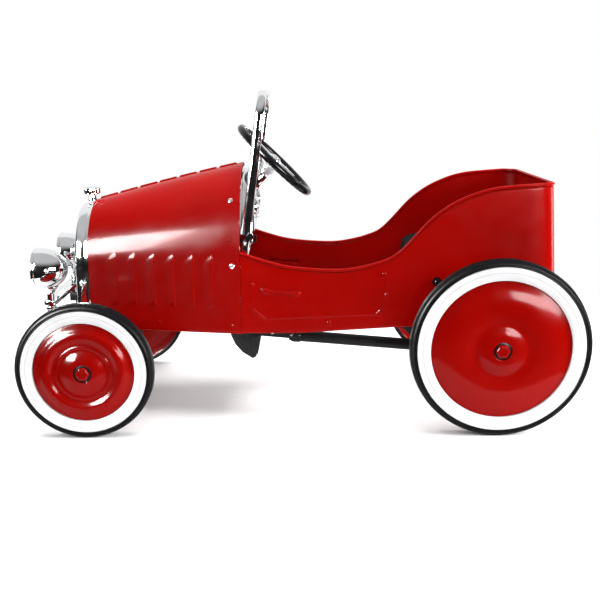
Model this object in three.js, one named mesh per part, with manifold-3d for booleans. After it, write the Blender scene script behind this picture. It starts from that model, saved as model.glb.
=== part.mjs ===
// Pedal car in the classic style of the 1920s. Millimetres, +Z up, front towards -X, left side at -Y.
// The origin is on the floor under the middle of the car.
import * as THREE from "three";
import { mergeVertices } from "three/addons/utils/BufferGeometryUtils.js";
import Module from "manifold-3d";

const wasm = await Module();
wasm.setup();

// ---- Driving dimensions -------------------------------------------------------------------

const FIT_GAP = 0.3; // left between two pieces that touch
const SHEET = 1.5; // thickness of the pressed steel sheet

const REAR_WHEEL = { x: 301.25, radius: 138.7, discRadius: 107.4 };
const FRONT_WHEEL = { x: -333.75, radius: 106.2, discRadius: 77.5 };
const TYRE_INNER_Y = 174; // inner side of every tyre
const TYRE_OUTER_Y = 200; // outer side of every tyre
const CAP_OUTER_Y = 209; // tip of the hub caps, half of the overall width

const TUB_HALF_WIDTH = 132;
const HOOD_FRONT_X = -342.5;
const HOOD_REAR_X = -97;
const HOOD_FRONT_RADIUS = 90.3; // half width and arch radius at the radiator
const HOOD_REAR_RADIUS = 131.8;
const HOOD_FRONT_APEX_Z = 345.5;
const HOOD_REAR_APEX_Z = 406;
const BODY_BOTTOM_Z = 148;

const RADIATOR_FRONT_X = -365;
const RADIATOR_RADIUS = 92;
const RADIATOR_APEX_Z = 344;

const RAIL = { z0: 154, z1: 170, frontY0: 72, frontY1: 84, rearY0: 98, rearY1: 112 };

const AXLE_RADIUS = 6;
const CRANK_THROW = 38;
const ROD_PLANE_Y = 70; // middle plane of each push rod and crank pin
const PEDAL_PIVOT = { x: -108, z: 256.5 };
const ROD_PIN = { x: -76, z: 133 }; // joint of pedal arm and push rod

const KINGPIN_Y = 150;
const STEERING_ARM = 36; // from kingpin to tie rod, and from column axis to its crank pin
const TIE_ROD_Z = 95.8;

const WHEEL_HUB = new THREE.Vector3(-44.35, 0, 410); // centre of the steering wheel
const COLUMN_DIRECTION = new THREE.Vector3(0.693, 0, 0.721).normalize(); // up along the column
const COLUMN_RADIUS = 6;
const COLUMN_LENGTH = 401.6; // from its crank arm up to the steering wheel

const WINDSCREEN_LEAN = THREE.MathUtils.degToRad(7.6);

// Outline of the tub side in X and Z: the cockpit edge from the hood to the tail.
const COCKPIT_EDGE = [
  [-95, 279],
  [-66, 269],
  [-35, 260],
  [-4, 255],
  [38, 252],
  [69, 252.5],
  [100, 258],
  [121, 264],
  [142, 273],
  [162, 291],
  [188, 320],
  [205, 336],
  [226, 351],
  [247, 362],
  [273, 372],
  [300, 378],
  [332, 381],
  [366, 383],
];
const SIDE_BOTTOM = [
  [366, 161],
  [152, 157],
  [-4, BODY_BOTTOM_Z],
  [-96.5, BODY_BOTTOM_Z],
];

// ---- Materials ----------------------------------------------------------------------------

const paint = (color, roughness, metalness) =>
  new THREE.MeshStandardMaterial({ color, roughness, metalness });
const RED = paint(0xb00d0a, 0.25, 0.1);
const CHROME = paint(0xdfe1e3, 0.08, 1);
const BRIGHT_PLATE = paint(0xc9cbcd, 0.15, 1);
const BLACK_STEEL = paint(0x17181a, 0.4, 0.3);
const GREY_PLASTIC = paint(0xa9aaac, 0.4, 0);
const BLACK_RUBBER = paint(0x141415, 0.6, 0);
const BLACK_SEAT = paint(0x18181a, 0.55, 0);
const LENS = paint(0xe8eef0, 0.05, 0);
const GRILLE = paint(0x8c8f92, 0.3, 0.9);
const ZINC = paint(0x9a9da0, 0.3, 0.9);

// ---- Shape helpers ------------------------------------------------------------------------

function solidOf(geometry) {
  const bare = geometry.index ? geometry.toNonIndexed() : geometry.clone();
  bare.deleteAttribute("normal");
  bare.deleteAttribute("uv");
  const merged = mergeVertices(bare, 1e-4);
  const vertProperties = merged.attributes.position.array;
  const triVerts = new Uint32Array(merged.index.array);
  const build = () => new wasm.Manifold(new wasm.Mesh({ numProp: 3, vertProperties, triVerts }));
  const solid = build();
  if (solid.volume() > 0) return solid;
  for (let i = 0; i < triVerts.length; i += 3) {
    [triVerts[i + 1], triVerts[i + 2]] = [triVerts[i + 2], triVerts[i + 1]];
  }
  return build();
}

function geometryOf(solid) {
  const mesh = solid.getMesh();
  const positions = new Float32Array(mesh.numVert * 3);
  for (let i = 0; i < mesh.numVert; i += 1) {
    positions.set(mesh.vertProperties.subarray(i * mesh.numProp, i * mesh.numProp + 3), i * 3);
  }
  const geometry = new THREE.BufferGeometry();
  geometry.setAttribute("position", new THREE.BufferAttribute(positions, 3));
  geometry.setIndex(new THREE.BufferAttribute(mesh.triVerts.slice(), 1));
  geometry.computeVertexNormals();
  return geometry;
}

const join = (...solids) => solids.reduce((sum, solid) => sum.add(solid));
const cut = (solid, ...tools) => tools.reduce((rest, tool) => rest.subtract(tool), solid);

function box(x0, x1, y0, y1, z0, z1) {
  const geometry = new THREE.BoxGeometry(x1 - x0, y1 - y0, z1 - z0);
  geometry.translate((x0 + x1) / 2, (y0 + y1) / 2, (z0 + z1) / 2);
  return solidOf(geometry);
}

// A round bar along Y, its facets laid out alike above and below.
function barY(radius, x, z, y0, y1, sides = 16) {
  const geometry = new THREE.CylinderGeometry(radius, radius, y1 - y0, sides, 1);
  geometry.translate(x, (y0 + y1) / 2, z);
  return solidOf(geometry);
}

function barZ(radius, x, y, z0, z1, sides = 16) {
  const geometry = new THREE.CylinderGeometry(radius, radius, z1 - z0, sides, 1);
  geometry.rotateX(Math.PI / 2);
  geometry.translate(x, y, (z0 + z1) / 2);
  return solidOf(geometry);
}

function shapeOf(points) {
  return new THREE.Shape(points.map(([x, y]) => new THREE.Vector2(x, y)));
}

// A flat plate with an outline in X and Z, between y0 and y1.
function plateXZ(points, y0, y1) {
  const geometry = new THREE.ExtrudeGeometry(shapeOf(points), { depth: y1 - y0, bevelEnabled: false });
  geometry.rotateX(Math.PI / 2);
  geometry.translate(0, y1, 0);
  return solidOf(geometry);
}

// A flat plate with an outline in Y and Z, between x0 and x1.
function plateYZ(points, x0, x1) {
  const geometry = new THREE.ExtrudeGeometry(shapeOf(points), { depth: x1 - x0, bevelEnabled: false });
  geometry.rotateX(Math.PI / 2);
  geometry.rotateZ(Math.PI / 2);
  geometry.translate(x0, 0, 0);
  return solidOf(geometry);
}

function plateXY(points, z0, z1) {
  const geometry = new THREE.ExtrudeGeometry(shapeOf(points), { depth: z1 - z0, bevelEnabled: false });
  geometry.translate(0, 0, z0);
  return solidOf(geometry);
}

// A turned shape about local Y. The profile holds [radius, y] pairs and closes on itself or starts and ends on the
// axis. Half a step of turn puts the middle of a facet, not an edge, at the bottom.
function turned(profile, sides) {
  const points = profile.map(([radius, y]) => new THREE.Vector2(radius, y));
  return solidOf(new THREE.LatheGeometry(points, sides, Math.PI / sides));
}

const ring = (profile, sides) => turned([...profile, profile[0]], sides);

// Radius to the corners of a many-sided ring whose flat sides lie at the given radius.
const acrossFlats = (radius, sides) => radius / Math.cos(Math.PI / sides);

function roundRect(halfWidth, z0, z1, corner, steps) {
  const points = [[-halfWidth, z0]];
  for (let i = 0; i <= steps; i += 1) {
    const angle = Math.PI - (i / steps) * (Math.PI / 2);
    points.push([-halfWidth + corner + corner * Math.cos(angle), z1 - corner + corner * Math.sin(angle)]);
  }
  for (let i = 0; i <= steps; i += 1) {
    const angle = Math.PI / 2 - (i / steps) * (Math.PI / 2);
    points.push([halfWidth - corner + corner * Math.cos(angle), z1 - corner + corner * Math.sin(angle)]);
  }
  points.push([halfWidth, z0]);
  return points;
}

// An arch in Y and Z: straight legs up to the spring line, then half a circle.
function archOutline(radius, bottomZ, apexZ, steps = 16) {
  const springZ = apexZ - radius;
  const points = [[-radius, bottomZ]];
  for (let i = 0; i <= steps; i += 1) {
    const angle = Math.PI - (i / steps) * Math.PI;
    points.push([radius * Math.cos(angle), springZ + radius * Math.sin(angle)]);
  }
  points.push([radius, bottomZ]);
  return points;
}

const lerp = THREE.MathUtils.lerp;

// The tapering arch that the hood is pressed to, filled solid. The inset makes the inner face of the sheet.
function taperedArch(inset, x0, x1, bottomZ, steps = 14, stations = 4) {
  const unit = archOutline(1, -1, 1, steps);
  const geometry = new THREE.ExtrudeGeometry(shapeOf(unit), {
    depth: 1,
    steps: stations,
    bevelEnabled: false,
  });
  const position = geometry.attributes.position;
  for (let i = 0; i < position.count; i += 1) {
    const across = position.getX(i);
    const up = position.getY(i);
    const x = lerp(x0, x1, position.getZ(i));
    const radius = hoodRadius(x);
    const bulge = 2.2 * Math.sin(Math.PI * THREE.MathUtils.clamp(hoodShare(x), 0, 1));
    const apexZ = hoodApexZ(x) + bulge;
    const springZ = apexZ - radius;
    const z = up < 0 ? lerp(springZ, bottomZ, -up) : springZ + up * (radius - inset);
    position.setXYZ(i, x, across * (radius - inset), z);
  }
  return solidOf(geometry);
}

const car = new THREE.Group();

function piece(name, solid, material, parent = car) {
  const mesh = new THREE.Mesh(geometryOf(solid), material);
  mesh.name = name;
  parent.add(mesh);
  return mesh;
}

// Runs once for the left side (-1) and once for the right side (+1).
const SIDES = [
  ["left", -1],
  ["right", 1],
];

// Puts the two ends of a span at the given distances from the middle plane on one side.
const span = (side, near, far) => (side < 0 ? [-far, -near] : [near, far]);

// ---- Body ---------------------------------------------------------------------------------

const LOUVRE = { firstX: -312.5, pitch: 31.2, length: 16, rise: 1.6, z0: 187, z1: 262, count: 6 };
const BEAD = { firstX: -336, pitch: 33.3, length: 28.5, halfWidth: 3.5, rise: 2.2, count: 7 };

const hoodShare = (x) => (x - HOOD_FRONT_X) / (HOOD_REAR_X - HOOD_FRONT_X);
const hoodRadius = (x) => lerp(HOOD_FRONT_RADIUS, HOOD_REAR_RADIUS, hoodShare(x));
const hoodApexZ = (x) => lerp(HOOD_FRONT_APEX_Z, HOOD_REAR_APEX_Z, hoodShare(x));

// Wedge-shaped pressings that open towards the rear, on both sides of the hood.
function louvres() {
  const wedges = [];
  for (let i = 0; i < LOUVRE.count; i += 1) {
    const x0 = LOUVRE.firstX + i * LOUVRE.pitch;
    const x1 = x0 + LOUVRE.length;
    for (const side of [-1, 1]) {
      const outline = [
        [x0, side * (hoodRadius(x0) - 0.8)],
        [x1, side * (hoodRadius(x1) - 0.8)],
        [x1, side * (hoodRadius(x1) + LOUVRE.rise)],
      ];
      wedges.push(plateXY(side > 0 ? outline : outline.reverse(), LOUVRE.z0, LOUVRE.z1));
    }
  }
  return wedges;
}

// Raised beads in a row along the crown, like the knuckles of a centre hinge.
function beads() {
  const rows = [];
  for (let i = 0; i < BEAD.count; i += 1) {
    const x0 = BEAD.firstX + i * BEAD.pitch;
    const x1 = Math.min(x0 + BEAD.length, HOOD_REAR_X - 2);
    const outline = [
      [x0, hoodApexZ(x0) - 1],
      [x1, hoodApexZ(x1) - 1],
      [x1, hoodApexZ(x1) + BEAD.rise + 1.8],
      [x0, hoodApexZ(x0) + BEAD.rise + 1],
    ];
    rows.push(plateXZ(outline, -BEAD.halfWidth, BEAD.halfWidth));
  }
  return rows;
}

function hood() {
  const outer = taperedArch(0, HOOD_FRONT_X, HOOD_REAR_X, BODY_BOTTOM_Z);
  const inner = taperedArch(SHEET, HOOD_FRONT_X - 10, HOOD_REAR_X + 10, BODY_BOTTOM_Z - 5);
  return cut(join(outer, ...louvres(), ...beads()), inner);
}

function sidePanel(side) {
  const outline = [...COCKPIT_EDGE, ...SIDE_BOTTOM];
  const [y0, y1] = span(side, TUB_HALF_WIDTH - SHEET, TUB_HALF_WIDTH);
  const panel = plateXZ(outline, y0, y1);
  const [f0, f1] = span(side, 99, TUB_HALF_WIDTH - 0.5);
  const flange = plateXZ(
    [
      [-96.5, BODY_BOTTOM_Z],
      [-4, BODY_BOTTOM_Z],
      [152, 157],
      [350, 160.6],
      [350, 162.1],
      [152, 158.5],
      [-4, BODY_BOTTOM_Z + SHEET],
      [-96.5, BODY_BOTTOM_Z + SHEET],
    ],
    f0,
    f1,
  );
  return join(panel, flange);
}

// The tail wraps round both rear corners and leans out towards the bottom.
function rearPanel() {
  const corner = 16;
  const rearX = 385.5;
  const frontX = 366 + FIT_GAP;
  const outline = (inset) => {
    const points = [[frontX - (inset ? 1 : 0), -(TUB_HALF_WIDTH - inset)]];
    for (let i = 0; i <= 4; i += 1) {
      const angle = -Math.PI / 2 + (i / 4) * (Math.PI / 2);
      const r = corner - inset;
      points.push([rearX - corner + r * Math.cos(angle), -(TUB_HALF_WIDTH - corner) + r * Math.sin(angle)]);
    }
    for (let i = 0; i <= 4; i += 1) {
      const angle = (i / 4) * (Math.PI / 2);
      const r = corner - inset;
      points.push([rearX - corner + r * Math.cos(angle), TUB_HALF_WIDTH - corner + r * Math.sin(angle)]);
    }
    points.push([frontX - (inset ? 1 : 0), TUB_HALF_WIDTH - inset]);
    return points;
  };
  const shell = cut(plateXY(outline(0), 161, 384), plateXY(outline(SHEET), 150, 394));
  const lean = 10 / 143;
  return shell.warp((v) => {
    if (v[0] > frontX + 1) v[0] += (384 - v[2]) * lean;
  });
}

piece("hood", hood(), RED);
for (const [name, side] of SIDES) piece(`body_side_${name}`, sidePanel(side), RED);
piece("body_rear", rearPanel(), RED);

// ---- Seat ---------------------------------------------------------------------------------

const SEAT = { x0: 174, x1: 362, halfWidth: 122, panZ: 230 };

function seatPan() {
  const edge = TUB_HALF_WIDTH - SHEET - FIT_GAP;
  const top = box(SEAT.x0, SEAT.x1, -edge, edge, SEAT.panZ - SHEET, SEAT.panZ);
  const apron = box(SEAT.x0, SEAT.x0 + SHEET, -edge, edge, SEAT.panZ - 26, SEAT.panZ - 0.5);
  const flanges = [-1, 1].map((side) => {
    const [y0, y1] = span(side, edge - SHEET, edge);
    return box(SEAT.x0 + 0.5, SEAT.x1, y0, y1, SEAT.panZ - 26, SEAT.panZ - 0.5);
  });
  return join(top, apron, ...flanges);
}

function cushion() {
  const outline = [
    [SEAT.x0 + 2, 0],
    [SEAT.x0 - 1, 12],
    [SEAT.x0 + 2, 28],
    [SEAT.x0 + 12, 41],
    [SEAT.x0 + 34, 47],
    [SEAT.x1 - 28, 46],
    [SEAT.x1 - 9, 37],
    [SEAT.x1 - 4, 20],
    [SEAT.x1 - 6, 0],
  ].map(([x, z]) => [x, SEAT.panZ + FIT_GAP + z]);
  return plateXZ(outline, -SEAT.halfWidth, SEAT.halfWidth);
}

piece("seat_pan", seatPan(), RED);
piece("seat_cushion", cushion(), BLACK_SEAT);

// ---- Dashboard, radiator and windscreen ---------------------------------------------------

const columnPoint = (distance) => WHEEL_HUB.clone().addScaledVector(COLUMN_DIRECTION, -distance);

// A round bar or bore along the steering column, between two distances below the wheel's hub.
function alongColumn(radius, near, far, sides = 16) {
  const geometry = new THREE.CylinderGeometry(radius, radius, far - near, sides, 1);
  geometry.applyQuaternion(
    new THREE.Quaternion().setFromUnitVectors(new THREE.Vector3(0, 1, 0), COLUMN_DIRECTION),
  );
  const middle = columnPoint((near + far) / 2);
  geometry.translate(middle.x, middle.y, middle.z);
  return solidOf(geometry);
}

const DASH = { frontX: -96.5, rearX: -74, halfWidth: 103, height: 96, baseZ: 302 };

// A flange inside the hood's rear edge, with a shallow tray that stands out of it towards the driver.
function dashboard() {
  const flange = cut(
    plateYZ(archOutline(127, 240, 401.2, 16), DASH.frontX, DASH.frontX + 2),
    box(-120, -60, -140, 140, 230, 303),
    box(-120, -60, 92, 140, 290, 326),
    box(-120, -60, -140, -92, 290, 326),
  );
  const trayOutline = (inset) => {
    const points = [];
    for (let i = 0; i <= 14; i += 1) {
      const angle = Math.PI - (i / 14) * Math.PI;
      points.push([
        (DASH.halfWidth - inset) * Math.cos(angle),
        DASH.baseZ + inset + (DASH.height - 2 * inset) * Math.sin(angle),
      ]);
    }
    return points;
  };
  const tray = plateYZ(trayOutline(0), DASH.frontX, DASH.rearX);
  const hollow = plateYZ(trayOutline(2), DASH.frontX - 5, DASH.rearX - 2);
  const collar = alongColumn(14, 28, 52);
  return cut(join(cut(join(flange, tray), hollow), collar), alongColumn(COLUMN_RADIUS + 0.5, 10, 90));
}

function radiatorShell() {
  const outer = plateYZ(archOutline(RADIATOR_RADIUS, BODY_BOTTOM_Z, RADIATOR_APEX_Z, 18), RADIATOR_FRONT_X, -343);
  const middle = plateYZ(archOutline(RADIATOR_RADIUS - SHEET, 140, RADIATOR_APEX_Z - SHEET, 18), -363.5, -330);
  const opening = plateYZ(archOutline(RADIATOR_RADIUS - 13, 162, RADIATOR_APEX_Z - 13, 18), -380, -350);
  const foot = box(RADIATOR_FRONT_X, -346, -90, 90, BODY_BOTTOM_Z, BODY_BOTTOM_Z + SHEET);
  return cut(join(cut(outer, middle, opening), foot), ...railPassages());
}

// Notches that the two chassis rails pass through.
function railPassages() {
  return [-1, 1].map((side) => {
    const [y0, y1] = span(side, RAIL.frontY0 - FIT_GAP, RAIL.frontY1 + FIT_GAP);
    return box(-380, -330, y0, y1, RAIL.z0 - FIT_GAP, RAIL.z1 + FIT_GAP);
  });
}

function radiatorGrille() {
  const frame = archOutline(RADIATOR_RADIUS - 2.2, 150.2, RADIATOR_APEX_Z - 2.2, 18);
  return cut(plateYZ(frame, -363, -361), ...railPassages());
}

function radiatorCap() {
  const x = -350.4;
  const profile = [
    [0, 0],
    [7.2, 0],
    [7.2, 2],
    [6, 3.5],
    [6, 12.5],
    [13.5, 13],
    [13.5, 21],
    [11, 23],
    [0, 23.5],
  ];
  const geometry = new THREE.LatheGeometry(
    profile.map(([r, y]) => new THREE.Vector2(r, y)),
    20,
  );
  geometry.rotateX(Math.PI / 2);
  geometry.translate(x, 0, RADIATOR_APEX_Z + FIT_GAP);
  return solidOf(geometry);
}

// An upside-down U of flattened tube that leans back a little.
function windscreenFrame() {
  const outer = roundRect(114, 0, 275, 42, 5);
  const inner = roundRect(105.5, -5, 266.5, 33.5, 5);
  const frame = cut(plateYZ(outer, -7.25, 7.25), plateYZ(inner, -10, 10));
  return frame;
}

piece("dashboard", dashboard(), BRIGHT_PLATE);
piece("radiator_shell", radiatorShell(), CHROME);
piece("radiator_grille", radiatorGrille(), GRILLE);
piece("radiator_cap", radiatorCap(), CHROME);

const windscreen = new THREE.Group();
windscreen.position.set(-95.5, 0, 250.708);
windscreen.rotation.y = WINDSCREEN_LEAN;
car.add(windscreen);
piece("windscreen_frame", windscreenFrame(), CHROME, windscreen);

// A diagonal strap with its bolt, and a block that fills the way out to the tub side.
function windscreenClamp(side) {
  const [y0, y1] = span(side, 114 + FIT_GAP, 116);
  const strap = [
    [-15, 27],
    [-8, 21],
    [13, 51],
    [5, 57],
  ];
  const [b0, b1] = span(side, 115.5, 119.5);
  const [k0, k1] = span(side, 114 + FIT_GAP, TUB_HALF_WIDTH - SHEET - FIT_GAP);
  return join(
    plateXZ(strap, y0, y1),
    barY(4.5, -1, 39, b0, b1, 8),
    box(0, 12, k0, k1, 2, 15),
    box(-6, 6, y0, y1, 5, 39),
  );
}

for (const [name, side] of SIDES) {
  piece(`windscreen_clamp_${name}`, windscreenClamp(side), CHROME, windscreen);
}

// ---- Headlights ---------------------------------------------------------------------------

const HEADLIGHT = { y: 78, z: 243.7, rimX: -431, backX: -379.3, radius: 34 };

// A shape turned about X, with [distance behind the rim, radius] pairs.
function turnedX(profile, x, y, z, sides) {
  const geometry = new THREE.LatheGeometry(
    profile.map(([behind, radius]) => new THREE.Vector2(radius, behind)),
    sides,
  );
  geometry.rotateZ(-Math.PI / 2);
  geometry.translate(x, y, z);
  return solidOf(geometry);
}

function headlightShell(side) {
  const profile = [
    [6, 0],
    [6, 30],
    [0, 30],
    [0, 34],
    [7, 34],
    [8, 31.5],
    [24, 29.5],
    [36, 24],
    [45, 15.5],
    [50, 7],
    [51.7, 0],
  ];
  return turnedX(profile, HEADLIGHT.rimX, side * HEADLIGHT.y, HEADLIGHT.z, 18);
}

function headlightLens(side) {
  const profile = [
    [5.7, 0],
    [5.7, 29.6],
    [2.5, 29.6],
    [0.6, 16],
    [0, 0],
  ];
  return turnedX(profile, HEADLIGHT.rimX, side * HEADLIGHT.y, HEADLIGHT.z, 18);
}

function headlightBar() {
  const posts = [-1, 1].map((side) => barZ(7, -410, side * HEADLIGHT.y, 170.3, 212.6, 12));
  return join(box(-421, -399, -HEADLIGHT.y - 12, HEADLIGHT.y + 12, 185, 192), ...posts);
}

for (const [name, side] of SIDES) {
  piece(`headlight_${name}`, headlightShell(side), CHROME);
  piece(`headlight_lens_${name}`, headlightLens(side), LENS);
}
piece("headlight_bar", headlightBar(), CHROME);

// ---- Chassis ------------------------------------------------------------------------------

// Each rail is bent outwards behind the front axle, and its rear half follows the bottom of the tub.
function chassisRail(side) {
  const { z0, z1, frontY0, frontY1, rearY0, rearY1 } = RAIL;
  const plan = [
    [-419, frontY0],
    [-165, frontY0],
    [-125, rearY0],
    [362, rearY0],
    [362, rearY1],
    [-131, rearY1],
    [-171, frontY1],
    [-419, frontY1],
  ].map(([x, y]) => [x, side * y]);
  const height = z1 - z0;
  const bottom = [
    [-419, z0],
    [-110, z0],
    [-85, 150],
    [-4, 150],
    [152, 159],
    [362, 162.8],
  ];
  const top = bottom.map(([x, z]) => [x, z + height]).reverse();
  return plateXY(plan, 140, 190).intersect(plateXZ([...bottom, ...top], -120, 120));
}

for (const [name, side] of SIDES) {
  piece(`chassis_rail_${name}`, chassisRail(side), BLACK_STEEL);
}

// The middle cross member lies on both rails and reaches the hood sides.
function crossMember() {
  return box(-192, -174, -113.5, 113.5, RAIL.z1 + FIT_GAP, RAIL.z1 + 12);
}

function rearCrossMember() {
  return box(350, 361, -93.4, 93.4, 164, 176);
}

function columnSupport() {
  const strut = box(-286, -256, -97, 97, RAIL.z1 + FIT_GAP, RAIL.z1 + 8);
  const collar = alongColumn(13, 310, 342);
  return cut(join(strut, collar), alongColumn(COLUMN_RADIUS + 0.5, 290, 370));
}

piece("chassis_cross_member", crossMember(), BLACK_STEEL);
piece("chassis_cross_rear", rearCrossMember(), BLACK_STEEL);
piece("column_support", columnSupport(), BLACK_STEEL);

// ---- Front axle and steering --------------------------------------------------------------

function frontAxleBeam() {
  const x = FRONT_WHEEL.x;
  const beam = box(x - 11, x + 11, -KINGPIN_Y, KINGPIN_Y, 96, 110);
  const bosses = [-1, 1].map((side) => barZ(11, x, side * KINGPIN_Y, 94, 116));
  const bores = [-1, 1].map((side) => barZ(5.4, x, side * KINGPIN_Y, 80, 130));
  const hangers = [-1, 1].map((side) => {
    const [y0, y1] = span(side, 73, 83);
    return box(x - 11, x + 11, y0, y1, 105, RAIL.z0 - FIT_GAP);
  });
  return cut(join(beam, ...bosses, ...hangers), ...bores);
}

// A fork round the axle's boss, with a stub axle outwards and a steering arm rearwards.
function knuckle(side) {
  const x = FRONT_WHEEL.x;
  const y = side * KINGPIN_Y;
  const [e0, e1] = span(side, KINGPIN_Y - 9, KINGPIN_Y + 19);
  const upper = box(x - 9, x + 9, e0, e1, 117, 122);
  const lower = box(x - 9, x + 9, e0, e1, 88, 93);
  const [p0, p1] = span(side, KINGPIN_Y + 13, KINGPIN_Y + 19);
  const web = box(x - 9, x + 9, p0, p1, 88, 122);
  const [a0, a1] = span(side, KINGPIN_Y + 13.5, CAP_OUTER_Y - 14);
  const stub = barY(AXLE_RADIUS, x, FRONT_WHEEL.radius, a0, a1);
  const [w0, w1] = span(side, KINGPIN_Y - 7, KINGPIN_Y + 7);
  const arm = join(box(x, x + STEERING_ARM, w0, w1, 88, 93), barZ(7, x + STEERING_ARM, y, 88, 93));
  const pin = barZ(4, x + STEERING_ARM, y, 92.5, 104);
  return cut(join(upper, lower, web, stub, arm, pin), barZ(5.3, x, y, 80, 130));
}

function kingpin(side) {
  return join(
    barZ(5, FRONT_WHEEL.x, side * KINGPIN_Y, 86, 122.6),
    barZ(8, FRONT_WHEEL.x, side * KINGPIN_Y, 122.3, 126),
  );
}

// The rod joins both steering arms. The upright slot in its middle takes the column's crank pin.
function tieRod() {
  const x = FRONT_WHEEL.x + STEERING_ARM;
  const bar = box(x - 7, x + 7, -KINGPIN_Y, KINGPIN_Y, 93.5, 98.5);
  const eyes = [-1, 1].map((side) => barZ(9, x, side * KINGPIN_Y, 93.5, 98.5));
  const holes = [-1, 1].map((side) => barZ(4.3, x, side * KINGPIN_Y, 80, 110));
  const fork = cut(box(x - 16, x + 16, -13, 13, 93.5, 98.5), box(x - 11, x + 30, -6.4, 6.4, 90, 110));
  return cut(join(bar, fork, ...eyes), ...holes, box(x - 11, x + 30, -6.4, 6.4, 90, 110));
}

piece("front_axle_beam", frontAxleBeam(), BLACK_STEEL);
for (const [name, side] of SIDES) {
  piece(`knuckle_${name}`, knuckle(side), BLACK_STEEL);
  piece(`kingpin_${name}`, kingpin(side), ZINC);
}
piece("tie_rod", tieRod(), BLACK_STEEL);

// The column's own frame: local Y runs up the column from the wheel's hub, local X points rearwards and down.
const steering = new THREE.Group();
steering.position.copy(WHEEL_HUB);
const columnRearward = new THREE.Vector3(COLUMN_DIRECTION.z, 0, -COLUMN_DIRECTION.x);
steering.quaternion.setFromRotationMatrix(
  new THREE.Matrix4().makeBasis(columnRearward, COLUMN_DIRECTION, new THREE.Vector3(0, -1, 0)),
);
car.add(steering);

function columnRod() {
  const bar = barY(COLUMN_RADIUS, 0, 0, -COLUMN_LENGTH, -9);
  const arm = box(0, STEERING_ARM, -COLUMN_LENGTH, -COLUMN_LENGTH + 7, -5, 5);
  const pin = barY(5, STEERING_ARM, 0, -COLUMN_LENGTH - 9, -COLUMN_LENGTH + 7, 12);
  return join(bar, arm, pin);
}

function columnSleeve() {
  const profile = [
    [6.6, -27],
    [13, -27],
    [13, -21],
    [10, -19.5],
    [10, -9.2],
    [6.6, -9.2],
  ];
  return ring(profile, 16);
}

function wheelRim() {
  const geometry = new THREE.TorusGeometry(75, 6.5, 8, 32);
  geometry.rotateX(Math.PI / 2);
  return solidOf(geometry);
}

function wheelSpokes() {
  const hub = turned(
    [
      [0, -8.5],
      [9, -8.5],
      [14, -4],
      [14, 3],
      [9, 6.5],
      [0, 7],
    ],
    16,
  );
  const spokes = [0, 1, 2, 3].map((i) => {
    const geometry = new THREE.BoxGeometry(59, 3, 11);
    geometry.translate(38.1, 0, 0);
    geometry.rotateY((i * Math.PI) / 2 + Math.PI / 4);
    return solidOf(geometry);
  });
  return join(hub, ...spokes);
}

piece("steering_column", columnRod(), ZINC, steering);
piece("column_sleeve", columnSleeve(), GREY_PLASTIC, steering);
piece("steering_wheel_rim", wheelRim(), BLACK_RUBBER, steering);
piece("steering_wheel_spokes", wheelSpokes(), CHROME, steering);

// ---- Pedals, push rods and rear crank axle --------------------------------------------------

piece("pedal_shaft", barY(5, PEDAL_PIVOT.x, PEDAL_PIVOT.z, -127, 127), ZINC);

function pedalArm(side) {
  const { x, z } = PEDAL_PIVOT;
  const [y0, y1] = span(side, 63, 67);
  const blade = plateXZ(
    [
      [x - 10, z],
      [x - 3, z - 60],
      [ROD_PIN.x - 14, ROD_PIN.z - 6],
      [ROD_PIN.x - 12, ROD_PIN.z - 24],
      [ROD_PIN.x - 2, ROD_PIN.z - 26],
      [ROD_PIN.x + 9, ROD_PIN.z + 2],
      [x + 14, z - 60],
      [x + 10, z],
    ],
    y0,
    y1,
  );
  const [b0, b1] = span(side, 55, 75);
  const [p0, p1] = span(side, 66.5, 73);
  const [h0, h1] = span(side, 72.6, 75);
  const boss = barY(10, x, z, b0, b1);
  const pin = barY(4, ROD_PIN.x, ROD_PIN.z, p0, p1, 12);
  const head = barY(7, ROD_PIN.x, ROD_PIN.z, h0, h1, 12);
  const [c0, c1] = span(side, 40, 90);
  return cut(join(blade, boss, pin, head), barY(5.4, x, z, c0, c1));
}

// A pressed pad: a face plate towards the driver between two fin-shaped flanges.
function pedalPad(side) {
  const fin = [
    [-119, 160],
    [-119, 126],
    [-112, 110],
    [-100, 96],
    [-83, 85],
    [-77, 89],
    [-70, 127],
    [-66, 160],
  ];
  const face = [
    [-83, 85],
    [-77, 89],
    [-70, 127],
    [-66, 160],
    [-70, 160],
    [-74, 127],
    [-81, 91],
  ];
  const [i0, i1] = span(side, 12, 14.5);
  const [o0, o1] = span(side, 60.2, 62.7);
  const [f0, f1] = span(side, 13, 62);
  return join(plateXZ(fin, i0, i1), plateXZ(fin, o0, o1), plateXZ(face, f0, f1));
}

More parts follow.
